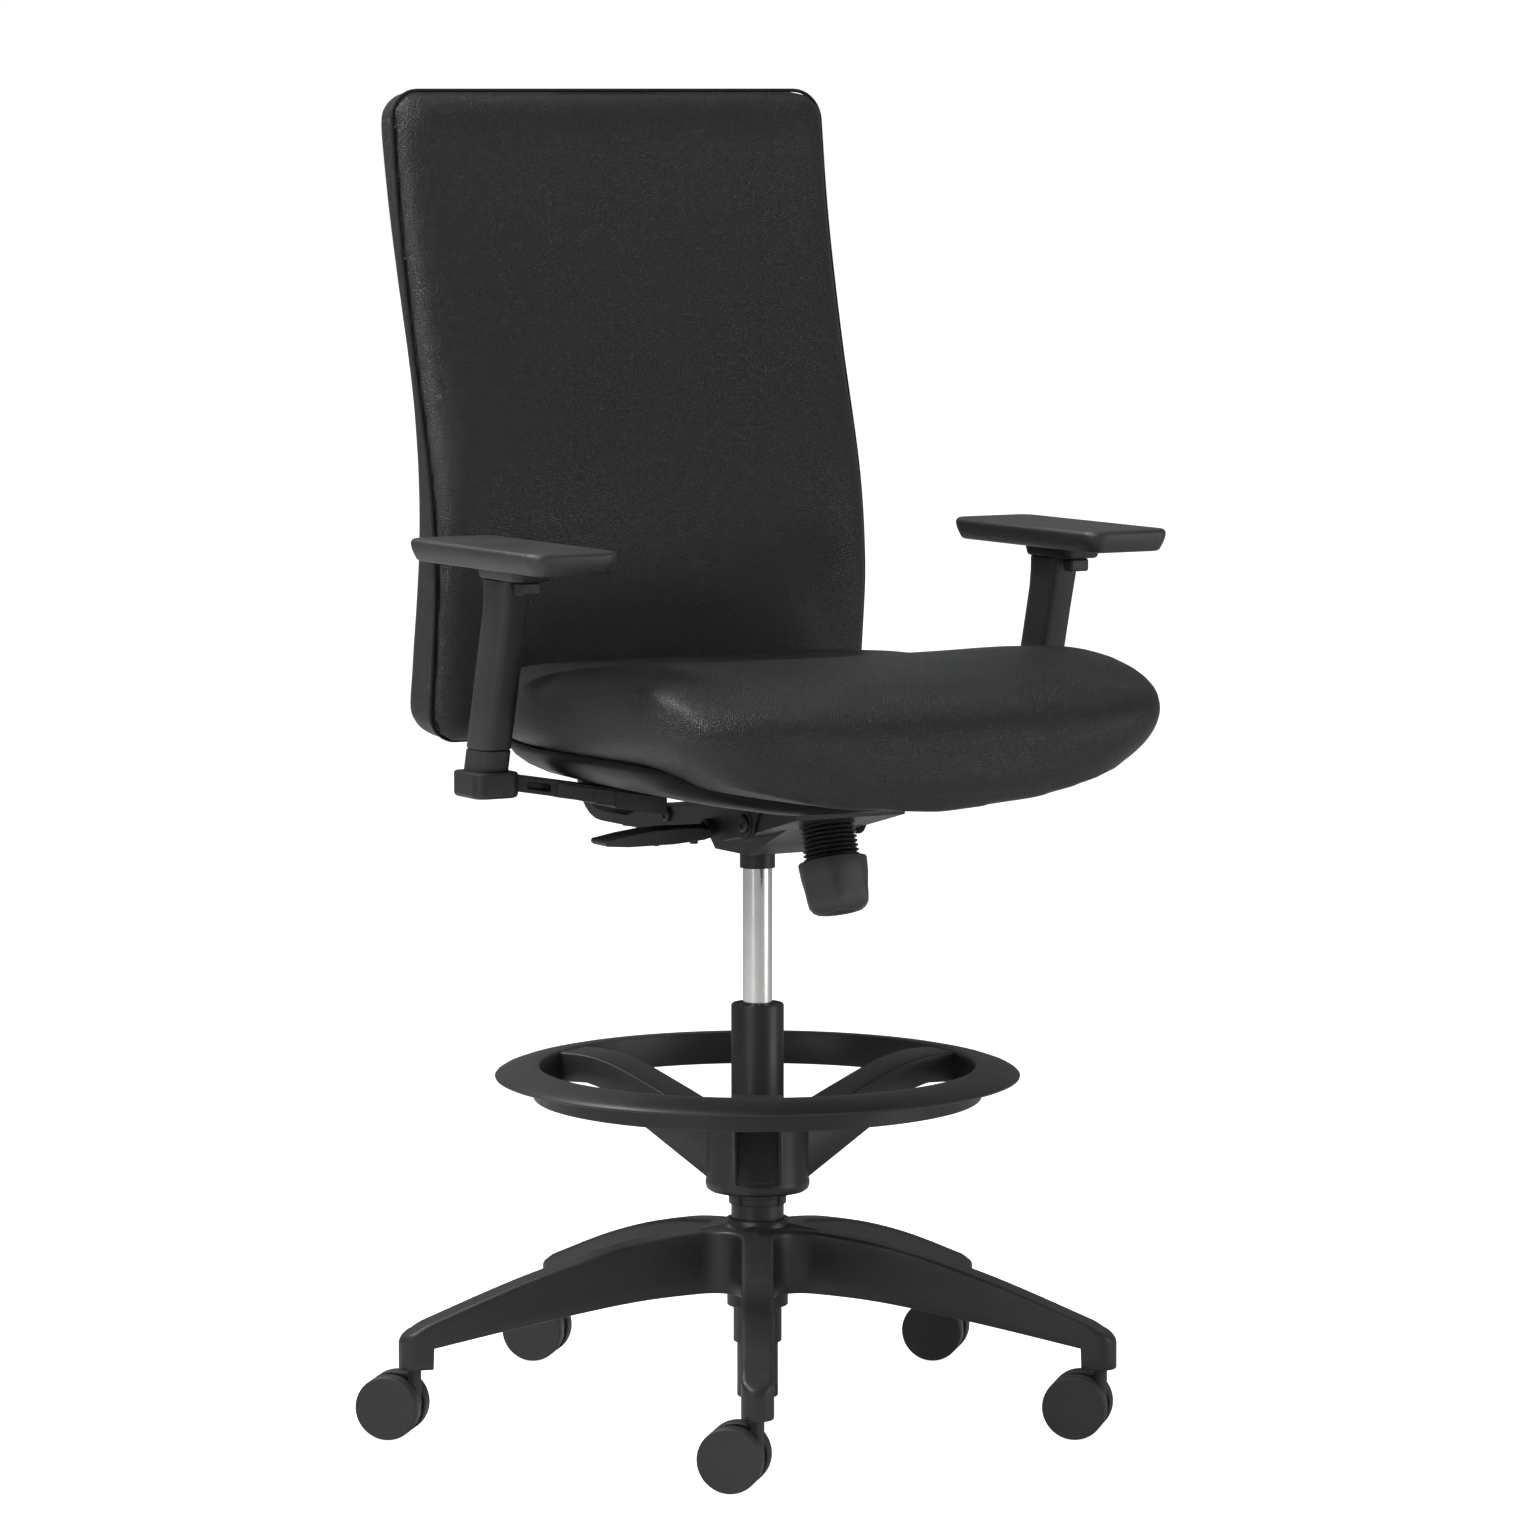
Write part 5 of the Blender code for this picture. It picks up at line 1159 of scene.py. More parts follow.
# %% [markdown]
# The collet is the split sleeve that locks the ring. It hangs below the hub round the tube, and four
# small tabs stand out of it where a hand turns it.

# %% Locking collet
low, high = reach("ring_collet")
collet_r = 0.028
collet = turned(
    "ring_collet_sleeve",
    [
        (collet_r - 0.0004, high.z), (collet_r, high.z - 0.0004), (collet_r, low.z + 0.0070),
        (collet_r - 0.0007, low.z + 0.0066), (collet_r - 0.0007, low.z + 0.0006),
        (collet_r - 0.0013, low.z), (tube_gap, low.z), (tube_gap, high.z),
    ],
    96,
)
TAB_SIZE = (0.005, 0.004, 0.0118)
tabs = []
for k in range(4):
    tab = block(f"collet_tab_{k}", TAB_SIZE, (0.0, -collet_r - 0.0004, low.z + 0.0058))
    settle(tab, azimuth(20 + 90 * k))
    ease_edges(tab, 0.0008, 2)
    tabs.append(tab)
weld(collet, *tabs)
settle(collet, TO_COLUMN)
hand_over(collet, "foot_ring", "black_plastic", PLASTIC, "ring_collet")


# %% [markdown]
# ## Tilt mechanism
#
# Under the seat sits a folded steel pan with a narrow trough round the column. Sheet metal always
# keeps a small radius along its bends, and that radius is what catches the light. So we take a copy
# of the frame's own solid, weld it, and round its edges by about a millimetre.

# %% Housing, pins and plates
shell = frame_copy("mechanism_housing", "mechanism_shell")
ease_edges(shell, 0.0011, 3, 35)
hand_over(shell, "lift", "mechanism_black", POWDER, "mechanism_housing")

MAIN_PIVOT = (-0.083, 0.577)
REAR_PIVOT = (0.070, 0.571)
for node, at, pin_r, head_r in (
    ("main_pivot_shaft", MAIN_PIVOT, 0.006, 0.0085),
    ("rear_pivot_shaft", REAR_PIVOT, 0.005, 0.0070),
):
    out = reach(node)[1].x
    half_pin = [
        (0.0, out - 0.0012), (head_r * 0.42, out - 0.0012), (head_r * 0.50, out - 0.0002),
        (head_r * 0.78, out), (head_r * 0.95, out - 0.0008), (head_r, out - 0.0018),
        (head_r, out - 0.0035), (pin_r, out - 0.0035),
    ]
    pin = turned(node + "_pin", half_pin + [(r, -x) for r, x in half_pin[::-1]], 48)
    settle(pin, TO_COLUMN @ Matrix.Translation((0, *at)) @ Matrix.Rotation(pi / 2, 4, "Y"))
    hand_over(pin, "lift", "mechanism_black", POWDER, node)

plate = frame_copy("seat_plate", "seat_mount_plate")
ease_edges(plate, 0.0006, 2, 35)
hand_over(plate, "seat", "mechanism_black", POWDER, "seat_plate")

EAR_OUT = 0.0600
for side in (-1, 1):
    washer = turned(
        f"ear_rim_{side}",
        [(0.0092, 0.0004), (0.0128, 0.0004), (0.0136, 0.0010), (0.0136, 0.0022), (0.0092, 0.0022)],
        48,
    )
    at = Matrix.Translation((side * EAR_OUT, *MAIN_PIVOT)) @ Matrix.Rotation(side * pi / 2, 4, "Y")
    settle(washer, TO_COLUMN @ at)
    hand_over(washer, "seat", "mechanism_black", POWDER)


# %% [markdown]
# ## Tension control
#
# The ridged post is a stack of sharp rings, turned in one go. The knob below it leans forwards. Its
# sides are lobed, so a hand can grip it: the ring of points is drawn in a little at six places,
# more near the floor of the knob than near its mouth.

# %% Ridged post and lobed knob
KNOB_LEAN = radians(-17)
KNOB_PLACE = TO_COLUMN @ Matrix.Translation((0, -0.1455, 0.5215)) @ Matrix.Rotation(KNOB_LEAN, 4, "X")
POST_R = 0.0262
POST_ROOT = 0.0222
post_foot = 0.017
ridge_foot = post_foot + 0.008
PITCH = 0.0042
RIDGES = 9
post_top = ridge_foot + RIDGES * PITCH + 0.006
post_profile = [(POST_ROOT - 0.004, post_top), (POST_R, post_top), (POST_R, post_top - 0.0056)]
for i in range(RIDGES):
    ridge = ridge_foot + (RIDGES - 0.5 - i) * PITCH
    post_profile += [(POST_ROOT, ridge + PITCH * 0.45), (POST_R - 0.0002, ridge + 0.0004)]
    post_profile += [(POST_R - 0.0002, ridge - 0.0004)]
post_profile += [(POST_ROOT, ridge_foot), (POST_ROOT, post_foot + 0.0003)]
post_profile += [(POST_ROOT - 0.004, post_foot + 0.0003)]
post = turned("tension_ridges", post_profile, 96)
smooth(post, 20)
settle(post, KNOB_PLACE)
hand_over(post, "lift", "black_plastic", DARK_PLASTIC, "tension_post")

knob_profile = [
    (0.003, post_foot), (POST_ROOT + 0.0003, post_foot), (POST_ROOT + 0.0003, 0.0245),
    (POST_ROOT + 0.0010, 0.0250), (0.0282, 0.0250), (0.0294, 0.0245), (0.0300, 0.0232),
    (0.0299, 0.0100), (0.0297, -0.0040), (0.0294, -0.0110), (0.0284, -0.0170), (0.0262, -0.0212),
    (0.0228, -0.0239), (0.0180, -0.0250), (0.0150, -0.0250), (0.0140, -0.0246), (0.0136, -0.0236),
    (0.0134, -0.0216), (0.0124, -0.0208), (0.0030, -0.0208),
]
KNOB_STEPS = 144
KNOB_LOBES = 6
knob_rings = []
for radius, height in knob_profile:
    radius += 0.0022 * ramp(0.0235, 0.0285, radius)
    dip = 0.0030 * ramp(0.018, -0.010, height) if radius > 0.0225 else 0.0
    ring = []
    for i in range(KNOB_STEPS):
        turn = 2 * pi * i / KNOB_STEPS
        lobe = (0.5 - 0.5 * cos(KNOB_LOBES * turn)) ** 0.7
        ring.append(((radius - dip * lobe) * cos(turn), (radius - dip * lobe) * sin(turn), height))
    knob_rings.append(ring)
knob = rolled("tension_knob_grip", knob_rings)
smooth(knob, 40)
settle(knob, KNOB_PLACE)
hand_over(knob, "tension_knob", "black_plastic", KNOB_PLASTIC, "tension_knob")


# %% [markdown]
# ## Height lever
#
# A bent wire runs out of the housing and lies in the top of a flat paddle. The paddle is thick at
# its root and thin at its tip. A small ridged boss guides the wire where it leaves the housing.

# %% Wire, boss and paddle
LEVER_Z = 0.567
PADDLE_IN = -0.066
PADDLE_OUT = -0.180
PADDLE_Y = -0.016
wire_line = [(0.006, 0.0, LEVER_Z), (-0.020, -0.0045, LEVER_Z), (-0.044, -0.0105, LEVER_Z)]
wire_line += [(-0.058, -0.0141, LEVER_Z), (PADDLE_IN, PADDLE_Y, LEVER_Z), (-0.123, PADDLE_Y, LEVER_Z)]
wire = drawn("lever_wire", wire_line, 0.008)
settle(wire, TO_COLUMN)
hand_over(wire, "height_lever", "mechanism_black", POWDER, "lever_rod")

paddle_side = [
    (PADDLE_IN, LEVER_Z - 0.0010), (PADDLE_IN - 0.012, LEVER_Z + 0.0022),
    (PADDLE_IN - 0.040, LEVER_Z + 0.0030), (PADDLE_IN - 0.066, LEVER_Z + 0.0022),
    (PADDLE_IN - 0.090, LEVER_Z - 0.0006), (PADDLE_OUT + 0.010, LEVER_Z - 0.0030),
    (PADDLE_OUT + 0.0015, LEVER_Z - 0.0044), (PADDLE_OUT, LEVER_Z - 0.0060),
    (PADDLE_OUT + 0.0004, LEVER_Z - 0.0086), (PADDLE_OUT + 0.0030, LEVER_Z - 0.0104),
    (PADDLE_OUT + 0.026, LEVER_Z - 0.0122), (PADDLE_IN - 0.040, LEVER_Z - 0.0122),
    (PADDLE_IN - 0.008, LEVER_Z - 0.0098), (PADDLE_IN, LEVER_Z - 0.0076),
]
paddle = slab("lever_grip", paddle_side, -PADDLE_Y - 0.015, -PADDLE_Y + 0.015, STAND_FRONT)
ease_edges(paddle, 0.0018, 4, 40)
groove = turned("paddle_groove", [(0.0, 0.06), (0.0044, 0.06), (0.0044, -0.002), (0.0, -0.002)], 32)
settle(groove, Matrix.Translation((PADDLE_IN, PADDLE_Y, LEVER_Z)) @ Matrix.Rotation(-pi / 2, 4, "Y"))
carve(paddle, groove)
studs = []
for x, radius in ((-0.078, 0.0040), (-0.118, 0.0028)):
    stud = turned(
        f"paddle_peg_{radius}",
        [(0.0, 0.0), (radius - 0.0006, 0.0), (radius, 0.0006), (radius, 0.008), (0.0, 0.008)],
        32,
    )
    settle(stud, Matrix.Translation((x, PADDLE_Y, LEVER_Z - 0.0145)))
    studs.append(stud)
weld(paddle, *studs)
smooth(paddle, 40)
settle(paddle, TO_COLUMN)
hand_over(paddle, "height_lever", "black_plastic", PLASTIC, "lever_paddle")

boss_profile = [(0.0052, 0.0)]
for i in range(3):
    boss_profile += [(0.0082, 0.0012 + 0.003 * i), (0.0082, 0.0026 + 0.003 * i)]
    boss_profile += [(0.0070, 0.0030 + 0.003 * i)]
boss_profile += [(0.0052, 0.0095)]
lever_boss = turned("lever_boss", boss_profile, 48)
settle(lever_boss, Matrix.Translation((-0.0575, -0.0140, LEVER_Z)) @ Matrix.Rotation(-pi / 2, 4, "Y"))
settle(lever_boss, TO_COLUMN)
hand_over(lever_boss, "lift", "black_plastic", DARK_PLASTIC)


# %% [markdown]
# ## Back bracket
#
# A flat steel bar leaves the rear pivot, bends upwards in a wide curve and runs up the back of the
# back. The bend is the visible part, so it is drawn with many short steps.

# %% Bracket
bracket = frame_copy("back_bracket", "back_bar")
ease_edges(bracket, 0.0014, 3, 30)
hand_over(bracket, "back", "mechanism_black", POWDER, "back_bracket")


# %% [markdown]
# ## Seat pan and seat cushion
#
# The pan is a moulded shroud that dishes up at its sides. The cushion is upholstered foam: nearly
# flat on top, with a broad soft shoulder, a side that rolls under, and a front that falls towards
# the knees. Both are rolled from the same plan outline, square at the shoulders and wide in front.

# %% Seat plan
SEAT_HALF = 0.268
SEAT_FRONT = -0.353
SEAT_REAR = 0.185
SEAT_TOP = 0.736
PAN_BASE = 0.6003


def pan_under(x):
    """Height of the pan's underside: flat in the middle, rising to both sides."""
    return PAN_BASE + max(abs(x) - 0.106, 0.0) * tan(radians(9.7))


def seat_outline(scale, count=160):
    """The seat's plan, squarer in front and narrower behind."""
    middle_y = (SEAT_FRONT + SEAT_REAR) / 2
    half_y = (SEAT_REAR - SEAT_FRONT) / 2
    points = []
    for i in range(count):
        turn = 2 * pi * i / count
        c, s = cos(turn), sin(turn)
        power = 7.0 if s < 0 else 3.6
        x = SEAT_HALF * abs(c) ** (2 / power) * (1 if c > 0 else -1)
        y = half_y * abs(s) ** (2 / power) * (1 if s > 0 else -1)
        taper = 1 - 0.05 * max(y / half_y, 0.0)
        points.append((x * scale * taper, middle_y + y * scale))
    return points


def seat_lip(x, y):
    """Height of the cushion's lower edge: it arches down across the front."""
    arch = max(1 - abs(x / 0.240) ** 1.9, 0.0)
    return 0.652 - 0.0455 * arch * ramp(0.14, 0.33, -y)


def seat_crown(y):
    """Height of the seat's top: a dip at the back and a long fall in front."""
    fall = min(max((-0.165 - y) / 0.185, 0.0), 1.0)
    return SEAT_TOP - 0.024 * ramp(-0.18, 0.08, y) - 0.034 * fall**2.1


pan_rings = []
pan_stations = [(0.2, 0.0, 0.0), (0.50, 0.0, 0.0), (0.70, 0.03, 0.0), (0.80, 0.12, 0.0), (0.86, 0.28, 0.0)]
pan_stations += [(0.90, 0.50, 0.0), (0.918, 0.70, 0.0), (0.922, 0.82, 0.0), (0.920, 0.93, 0.0)]
pan_stations += [(0.90, 1.0, 0.0), (0.70, 0.0, 0.0140), (0.2, 0.0, 0.0140)]
for scale, share, lift in pan_stations:
    ring = []
    for x, y in seat_outline(scale):
        drawn_in = -0.12 + (y + 0.12) * 0.70 if y < -0.12 else y
        base_z = pan_under(x) + lift
        ring.append((x, drawn_in, base_z + share * (seat_lip(x, y) - base_z)))
    pan_rings.append(ring)
pan = rolled("seat_shroud", pan_rings)
smooth(pan, 40)
settle(pan, TO_COLUMN)
hand_over(pan, "seat", "black_plastic", PAN_PLASTIC, "seat_pan")


# %% [markdown]
# ## How the cushions are filled
#
# A cover pulled over foam is never quite the shape it was cut to: the foam pushes it out where
# nothing holds it, and it stays put at its seams. We let the cloth simulation do that pushing. The
# mesh is rebuilt with even squares, the hidden side and the seams are held, a little pressure
# swells the rest, and no point may travel further than a limit, because this is firm foam.

# %% Filling tool
SIM_STEPS = 20
SETTLING_STEPS = 24


def filled_out(piece, square, limit, held):
    """Rebuild a cover in even squares and let it swell where it is not held."""
    press(piece, "REMESH", mode="VOXEL", voxel_size=square)
    press(piece, "SMOOTH", factor=0.5, iterations=3)
    start = [corner.co.copy() for corner in piece.data.vertices]
    fixed = [i for i, place in enumerate(start) if held(place)]
    loose = [i for i, place in enumerate(start) if not held(place)]
    piece.vertex_groups.new(name="held").add(fixed, 1.0, "REPLACE")
    piece.vertex_groups.new(name="loose").add(loose, 1.0, "REPLACE")
    cover = piece.modifiers.new("cover", "CLOTH")
    cover.settings.quality = 5
    cover.settings.tension_stiffness = 60.0
    cover.settings.compression_stiffness = 60.0
    cover.settings.bending_stiffness = 20.0
    cover.settings.use_pressure = True
    cover.settings.uniform_pressure_force = 4.0
    cover.settings.vertex_group_mass = "held"
    cover.settings.effector_weights.gravity = 0.0
    cover.collision_settings.use_collision = False
    cover.point_cache.frame_end = SIM_STEPS
    for step in range(1, SIM_STEPS + 1):
        scene.frame_set(step)
    only(piece)
    bpy.ops.object.modifier_apply(modifier="cover")
    scene.frame_set(1)
    for corner, place in zip(piece.data.vertices, start):
        move = corner.co - place
        if move.length > limit:
            corner.co = place + move * (limit / move.length)
    press(piece, "SMOOTH", factor=0.5, iterations=SETTLING_STEPS, vertex_group="loose")
    piece.vertex_groups.clear()
    press(piece, "SUBSURF", levels=1, render_levels=1)
    only(piece)
    bpy.ops.object.shade_smooth()
    print(piece.name, "filled:", len(piece.data.polygons), "faces")


# %% [markdown]
# The seat's section is a line of keys from the middle of its top, over the shoulder and down the
# side. Each key says how wide the plan is there and how high it stands. The last rings tuck the
# cover under, onto the pan, where it is held.

# %% Seat cushion
SEAT_LINE = [
    (0.0, 0.20, 0.945), (1.0, 0.55, 0.958), (2.0, 0.80, 0.978), (3.0, 0.915, 0.968),
    (4.0, 0.968, 0.890), (5.0, 0.990, 0.740), (6.0, 0.994, 0.540), (7.0, 0.984, 0.330),
    (8.0, 0.960, 0.130), (9.0, 0.925, 0.008),
]
scales = [(t, s) for t, s, _ in SEAT_LINE]
shares = [(t, s) for t, _, s in SEAT_LINE]
seat_rings = []
SEAT_ROWS = 45
for i in range(SEAT_ROWS + 1):
    t = SEAT_LINE[-1][0] * i / SEAT_ROWS
    scale = eased(scales, t)
    share = eased(shares, t)
    ring = []
    for x, y in seat_outline(scale):
        low_z = seat_lip(x, y)
        ring.append((x, y, low_z + share * (seat_crown(y) - low_z)))
    seat_rings.append(ring)
for scale, tuck in ((0.90, 0.06), (0.86, 0.30), (0.80, 0.85), (0.70, 1.0), (0.50, 1.0), (0.2, 1.0)):
    ring = []
    for x, y in seat_outline(scale):
        low_z = seat_lip(x, y)
        ring.append((x, y, low_z + tuck * (pan_under(x) + 0.0145 - low_z)))
    seat_rings.append(ring)
seat = rolled("seat_upholstery", seat_rings)
SQUARE = 0.0065
filled_out(seat, SQUARE, 0.0035, lambda place: place.z < pan_under(place.x) + 0.022)
settle(seat, TO_COLUMN)
hand_over(seat, "seat", "upholstery", UPHOLSTERY, "seat_cushion")


# %% [markdown]
# ## Back
#
# The back is upholstered in two panels: a front one whose edges roll round, and a deeper rear one.
# They meet in a seam that follows the whole edge, just behind the front corner. From the side the
# back is an S: it swells towards the small of a back and leans away above.

# %% Back panels
BACK_HALF = 0.238
BACK_END = 0.634
BACK_TOP = 1.254
CORNER = 0.030
BACK_KEYS = [(BACK_END, 0.216), (0.72, 0.206), (0.79, 0.201), (0.88, 0.211), (1.01, 0.246)]
BACK_KEYS += [(1.13, 0.273), (BACK_TOP, 0.290)]
DEPTH_KEYS = [(BACK_END, 0.062), (0.75, 0.064), (0.86, 0.050), (0.97, 0.036), (1.06, 0.038)]
DEPTH_KEYS += [(BACK_TOP, 0.046)]


def back_section(z, depth, inset, sign):
    """One level of a panel: flat against the seam, round at both corners."""
    half = BACK_HALF - 0.0005 - inset
    line = eased(BACK_KEYS, z)
    r = min(0.020, depth * 0.85)
    outer = []
    for i in range(9):
        turn = pi / 2 * i / 8
        outer.append((half - r + r * cos(turn), depth - r + r * sin(turn)))
    right = [(half * share, 0.0) for share in (0.2, 0.4, 0.6, 0.8, 0.95, 1.0)] + outer
    across = [((half - r) * (1 - 2 * i / 16), depth) for i in range(1, 16)]
    left = [(-x, d) for x, d in right[::-1]]
    return [(x, line + sign * (d + 0.0002), z) for x, d in right + across + left]


def back_panel(name, depth_at, sign):
    """A whole panel: close levels where its corners turn, even ones between."""
    levels = [CORNER * (1 - cos(pi / 2 * i / 9)) for i in range(10)]
    span = BACK_TOP - BACK_END
    middle = [CORNER + (span - 2 * CORNER) * i / 44 for i in range(1, 44)]
    rings = []
    for along in levels + middle + [span - d for d in levels[::-1]]:
        z = BACK_END + along
        distance = min(along, span - along)
        gap = max(CORNER - distance, 0.0)
        inset = CORNER - sqrt(max(CORNER**2 - gap**2, 0.0))
        rise = min(distance / 0.022, 1.0)
        share = 0.30 + 0.70 * sqrt(max(1 - (1 - rise) ** 2, 0.0))
        rings.append(back_section(z, depth_at(z) * share, inset, sign))
    return rolled(name, rings)


def near_seam(place):
    """Is this point of the cover sewn down?"""
    return abs(place.y - eased(BACK_KEYS, place.z)) < 0.005


front_panel = back_panel("back_front_panel", lambda z: 0.0195, -1)
filled_out(front_panel, SQUARE, 0.0025, near_seam)
settle(front_panel, TO_COLUMN)
hand_over(front_panel, "back", "upholstery", UPHOLSTERY, "back_cushion")

rear_panel = back_panel("back_rear_panel", lambda z: eased(DEPTH_KEYS, z), 1)
filled_out(rear_panel, SQUARE, 0.003, lambda place: near_seam(place) or abs(place.x) < 0.05)
settle(rear_panel, TO_COLUMN)
hand_over(rear_panel, "back", "upholstery", UPHOLSTERY, "back_panel")


# %% [markdown]
# The seam is a thin line of thread and folded cover in the groove between the panels. It follows
# the back's outline, four corner arcs with straight sides between, a little inside the edge.

# %% Seam round the back
SEAM_INSET = 0.0016
SEAM_WIDTH = 0.0036
seam_line = []
for cx, cz, start in (
    (BACK_HALF - CORNER, BACK_TOP - CORNER, 0), (CORNER - BACK_HALF, BACK_TOP - CORNER, 90),
    (CORNER - BACK_HALF, BACK_END + CORNER, 180), (BACK_HALF - CORNER, BACK_END + CORNER, 270),
):
    seam_line += [(x, z) for x, z in arc(cx, cz, CORNER - SEAM_INSET, start, start + 90, 10)]
    if start in (90, 270):
        x = seam_line[-1][0]
        z_from = seam_line[-1][1]
        z_to = BACK_END + CORNER if start == 90 else BACK_TOP - CORNER
        seam_line += [(x, z_from + (z_to - z_from) * i / 40) for i in range(1, 40)]
seam_points = [(x, eased(BACK_KEYS, z) - 0.0004, z) for x, z in seam_line]
seam = drawn("back_seam", seam_points, SEAM_WIDTH, closed=True)
settle(seam, TO_COLUMN)
hand_over(seam, "back", "upholstery", SEAM_THREAD)


# %% [markdown]
# ## Arms
#
# Each arm is a steel bar under the seat, a socket block, a leaning post in two telescoping parts,
# and a pad on a tray. The post is a rounded rectangle in plan. The pad has a flat top with a tight
# rounded rim, and its sides slant inwards below, so the rim throws a thin bright line.

# %% Arm tools
ARM_X = 0.2945
FOOT_Y = -0.012
BLOCK_TOP = 0.632
SLEEVE_TOP = 0.811
PAD_Y = -0.065
PAD_TOP = 0.844
LEAN = 0.264


def post_y(z):
    """Where the leaning post's axis is at a height."""
    return FOOT_Y - (z - BLOCK_TOP) * LEAN


def post_ring(half_x, half_y, z, power=3.4, shift=0.0):
    """One level of the post."""
    return [(x, post_y(z) + shift + y, z) for x, y in oval(half_x, half_y, power, 64)]


def plan_ring(inset, z):
    """One level of the pad."""
    plan = rounded_box(0.045 - inset, 0.127 - inset, max(0.017 - inset, 0.004), 10)
    return [(x, PAD_Y + y, z) for x, y in plan]


# %% [markdown]
# ### Under the seat
#
# The bar is the frame's own solid with eased edges and the slot its screw slides in. Three stepped
# boxes under the pan guide it.

# %% Arm bar and guides
SLOT = (0.238, 0.262, 0.0050, 0.0110)
GUIDES = ((0.171, 0.194, 0.0250, 0.0170), (0.120, 0.173, 0.0272, 0.0185), (0.192, 0.232, 0.0232, 0.0158))


def under_pan(side, near, far, above, below):
    """A four-cornered outline that hangs below the pan's sloping underside."""
    corners = ((near, above), (far, above), (far, below), (near, below))
    return [(side * x, pan_under(x) - drop) for x, drop in corners]


def arm_rail(side, tag):
    bar = frame_copy(f"arm_bar_{tag}", f"arm_rail_{tag}")
    slot_side = under_pan(side, *SLOT)
    slot_tool = slab(f"bar_slot_{tag}", slot_side, -FOOT_Y + 0.014, -FOOT_Y + 0.030, STAND_FRONT)
    tidy(slot_tool)
    settle(slot_tool, TO_COLUMN)
    carve(bar, slot_tool)
    ease_edges(bar, 0.0012, 3, 35)
    hand_over(bar, f"arm_{tag}", "mechanism_black", POWDER, f"arm_bar_{tag}")


def arm_guides(side, tag):
    guides = []
    for near, far, half, below in GUIDES:
        guide_side = under_pan(side, near, far, 0.0022, below)
        name = f"arm_guide_{tag}_{near}"
        guides.append(slab(name, guide_side, -FOOT_Y - half, -FOOT_Y + half, STAND_FRONT))
    weld(guides[0], *guides[1:])
    tidy(guides[0])
    ease_edges(guides[0], 0.0012, 2, 40)
    settle(guides[0], TO_COLUMN)
    hand_over(guides[0], f"arm_{tag}", "black_plastic", PLASTIC)


# %% [markdown]
# ### Socket and post
#
# The block is a rounded box with a pocket for the bar. A collar and a tongue rise from it, leaning
# forwards. The sleeve slides on the tongue, so it is hollow, and it flares a little below the pad.

# %% Arm socket and sleeve
BLOCK_LEVELS = [(0.012, 0.6082), (0.004, 0.6082), (0.0018, 0.6088), (0.0005, 0.6102), (0.0, 0.6125)]
BLOCK_LEVELS += [(0.0, 0.6300), (0.0004, 0.6312), (0.0014, 0.6319), (0.006, 0.6322)]
POCKET_GAP = 0.0004
BAR_HALF = 0.015


def arm_socket(tag, stand):
    block_rings = []
    for inset, z in BLOCK_LEVELS:
        plan = rounded_box(0.0235 - inset, 0.0280 - inset, 0.0125 - inset * 0.9, 10)
        block_rings.append([(x, FOOT_Y + y, z) for x, y in plan])
    socket = rolled(f"arm_socket_{tag}", block_rings)
    collar_rings = [post_ring(0.0165, 0.022, 0.628), post_ring(0.0165, 0.022, 0.6512)]
    collar_rings += [post_ring(0.0161, 0.0216, 0.6522), post_ring(0.0150, 0.0205, 0.6526)]
    collar = rolled(f"arm_collar_{tag}", collar_rings)
    tongue_rings = [post_ring(0.0120, 0.0175, 0.648, 3.0), post_ring(0.0120, 0.0175, 0.773, 3.0)]
    tongue_rings += [post_ring(0.0112, 0.0167, 0.775, 3.0)]
    tongue = rolled(f"arm_tongue_{tag}", tongue_rings)
    weld(socket, collar, tongue)
    settle(socket, stand)
    pocket = frame_copy(f"arm_bar_{tag}", f"arm_pocket_{tag}")
    middle_y = COLUMN.y + FOOT_Y
    for corner in pocket.data.vertices:
        if corner.co.y > middle_y + BAR_HALF:
            corner.co.y += POCKET_GAP
        elif corner.co.y < middle_y - BAR_HALF:
            corner.co.y -= POCKET_GAP
    carve(socket, pocket)
    ease_edges(socket, 0.0003, 1, 50)
    hand_over(socket, f"arm_{tag}", "black_plastic", POST_PLASTIC, f"arm_upright_{tag}")


def arm_post(tag, stand):
    sleeve_rings = [post_ring(0.0150, 0.0205, 0.6530), post_ring(0.0161, 0.0216, 0.6534)]
    for z in (0.6546, 0.700, 0.760):
        sleeve_rings.append(post_ring(0.0165, 0.0220, z))
    sleeve_rings.append(post_ring(0.0166, 0.0222, 0.782))
    sleeve_rings.append(post_ring(0.0170, 0.0226, 0.798, 3.6, 0.0008))
    sleeve_rings.append(post_ring(0.0174, 0.0236, 0.8108, 4.0, 0.0018))
    sleeve = rolled(f"arm_post_{tag}", sleeve_rings)
    cavity_rings = [post_ring(0.0123, 0.0178, 0.640, 3.0), post_ring(0.0123, 0.0178, 0.779, 3.0)]
    carve(sleeve, rolled(f"arm_cavity_{tag}", cavity_rings))
    smooth(sleeve, 35)
    settle(sleeve, stand)
    hand_over(sleeve, f"armrest_{tag}", "black_plastic", POST_PLASTIC, f"arm_sleeve_{tag}")


# %% [markdown]
# ### Tray, trigger and pad
#
# The tray is a small rounded plate round the post's head, and the trigger sits in it. The pad rises
# from a narrower foot to its rim, which is a quarter circle, and closes in a flat top.

# %% Arm tray, button and cushion
TRAY_LEVELS = ((0.010, 0.0002), (0.0030, 0.0002), (0.0010, 0.0010), (0.0, 0.0030))
RIM_R = 0.0048
RIM_Z = 0.8386


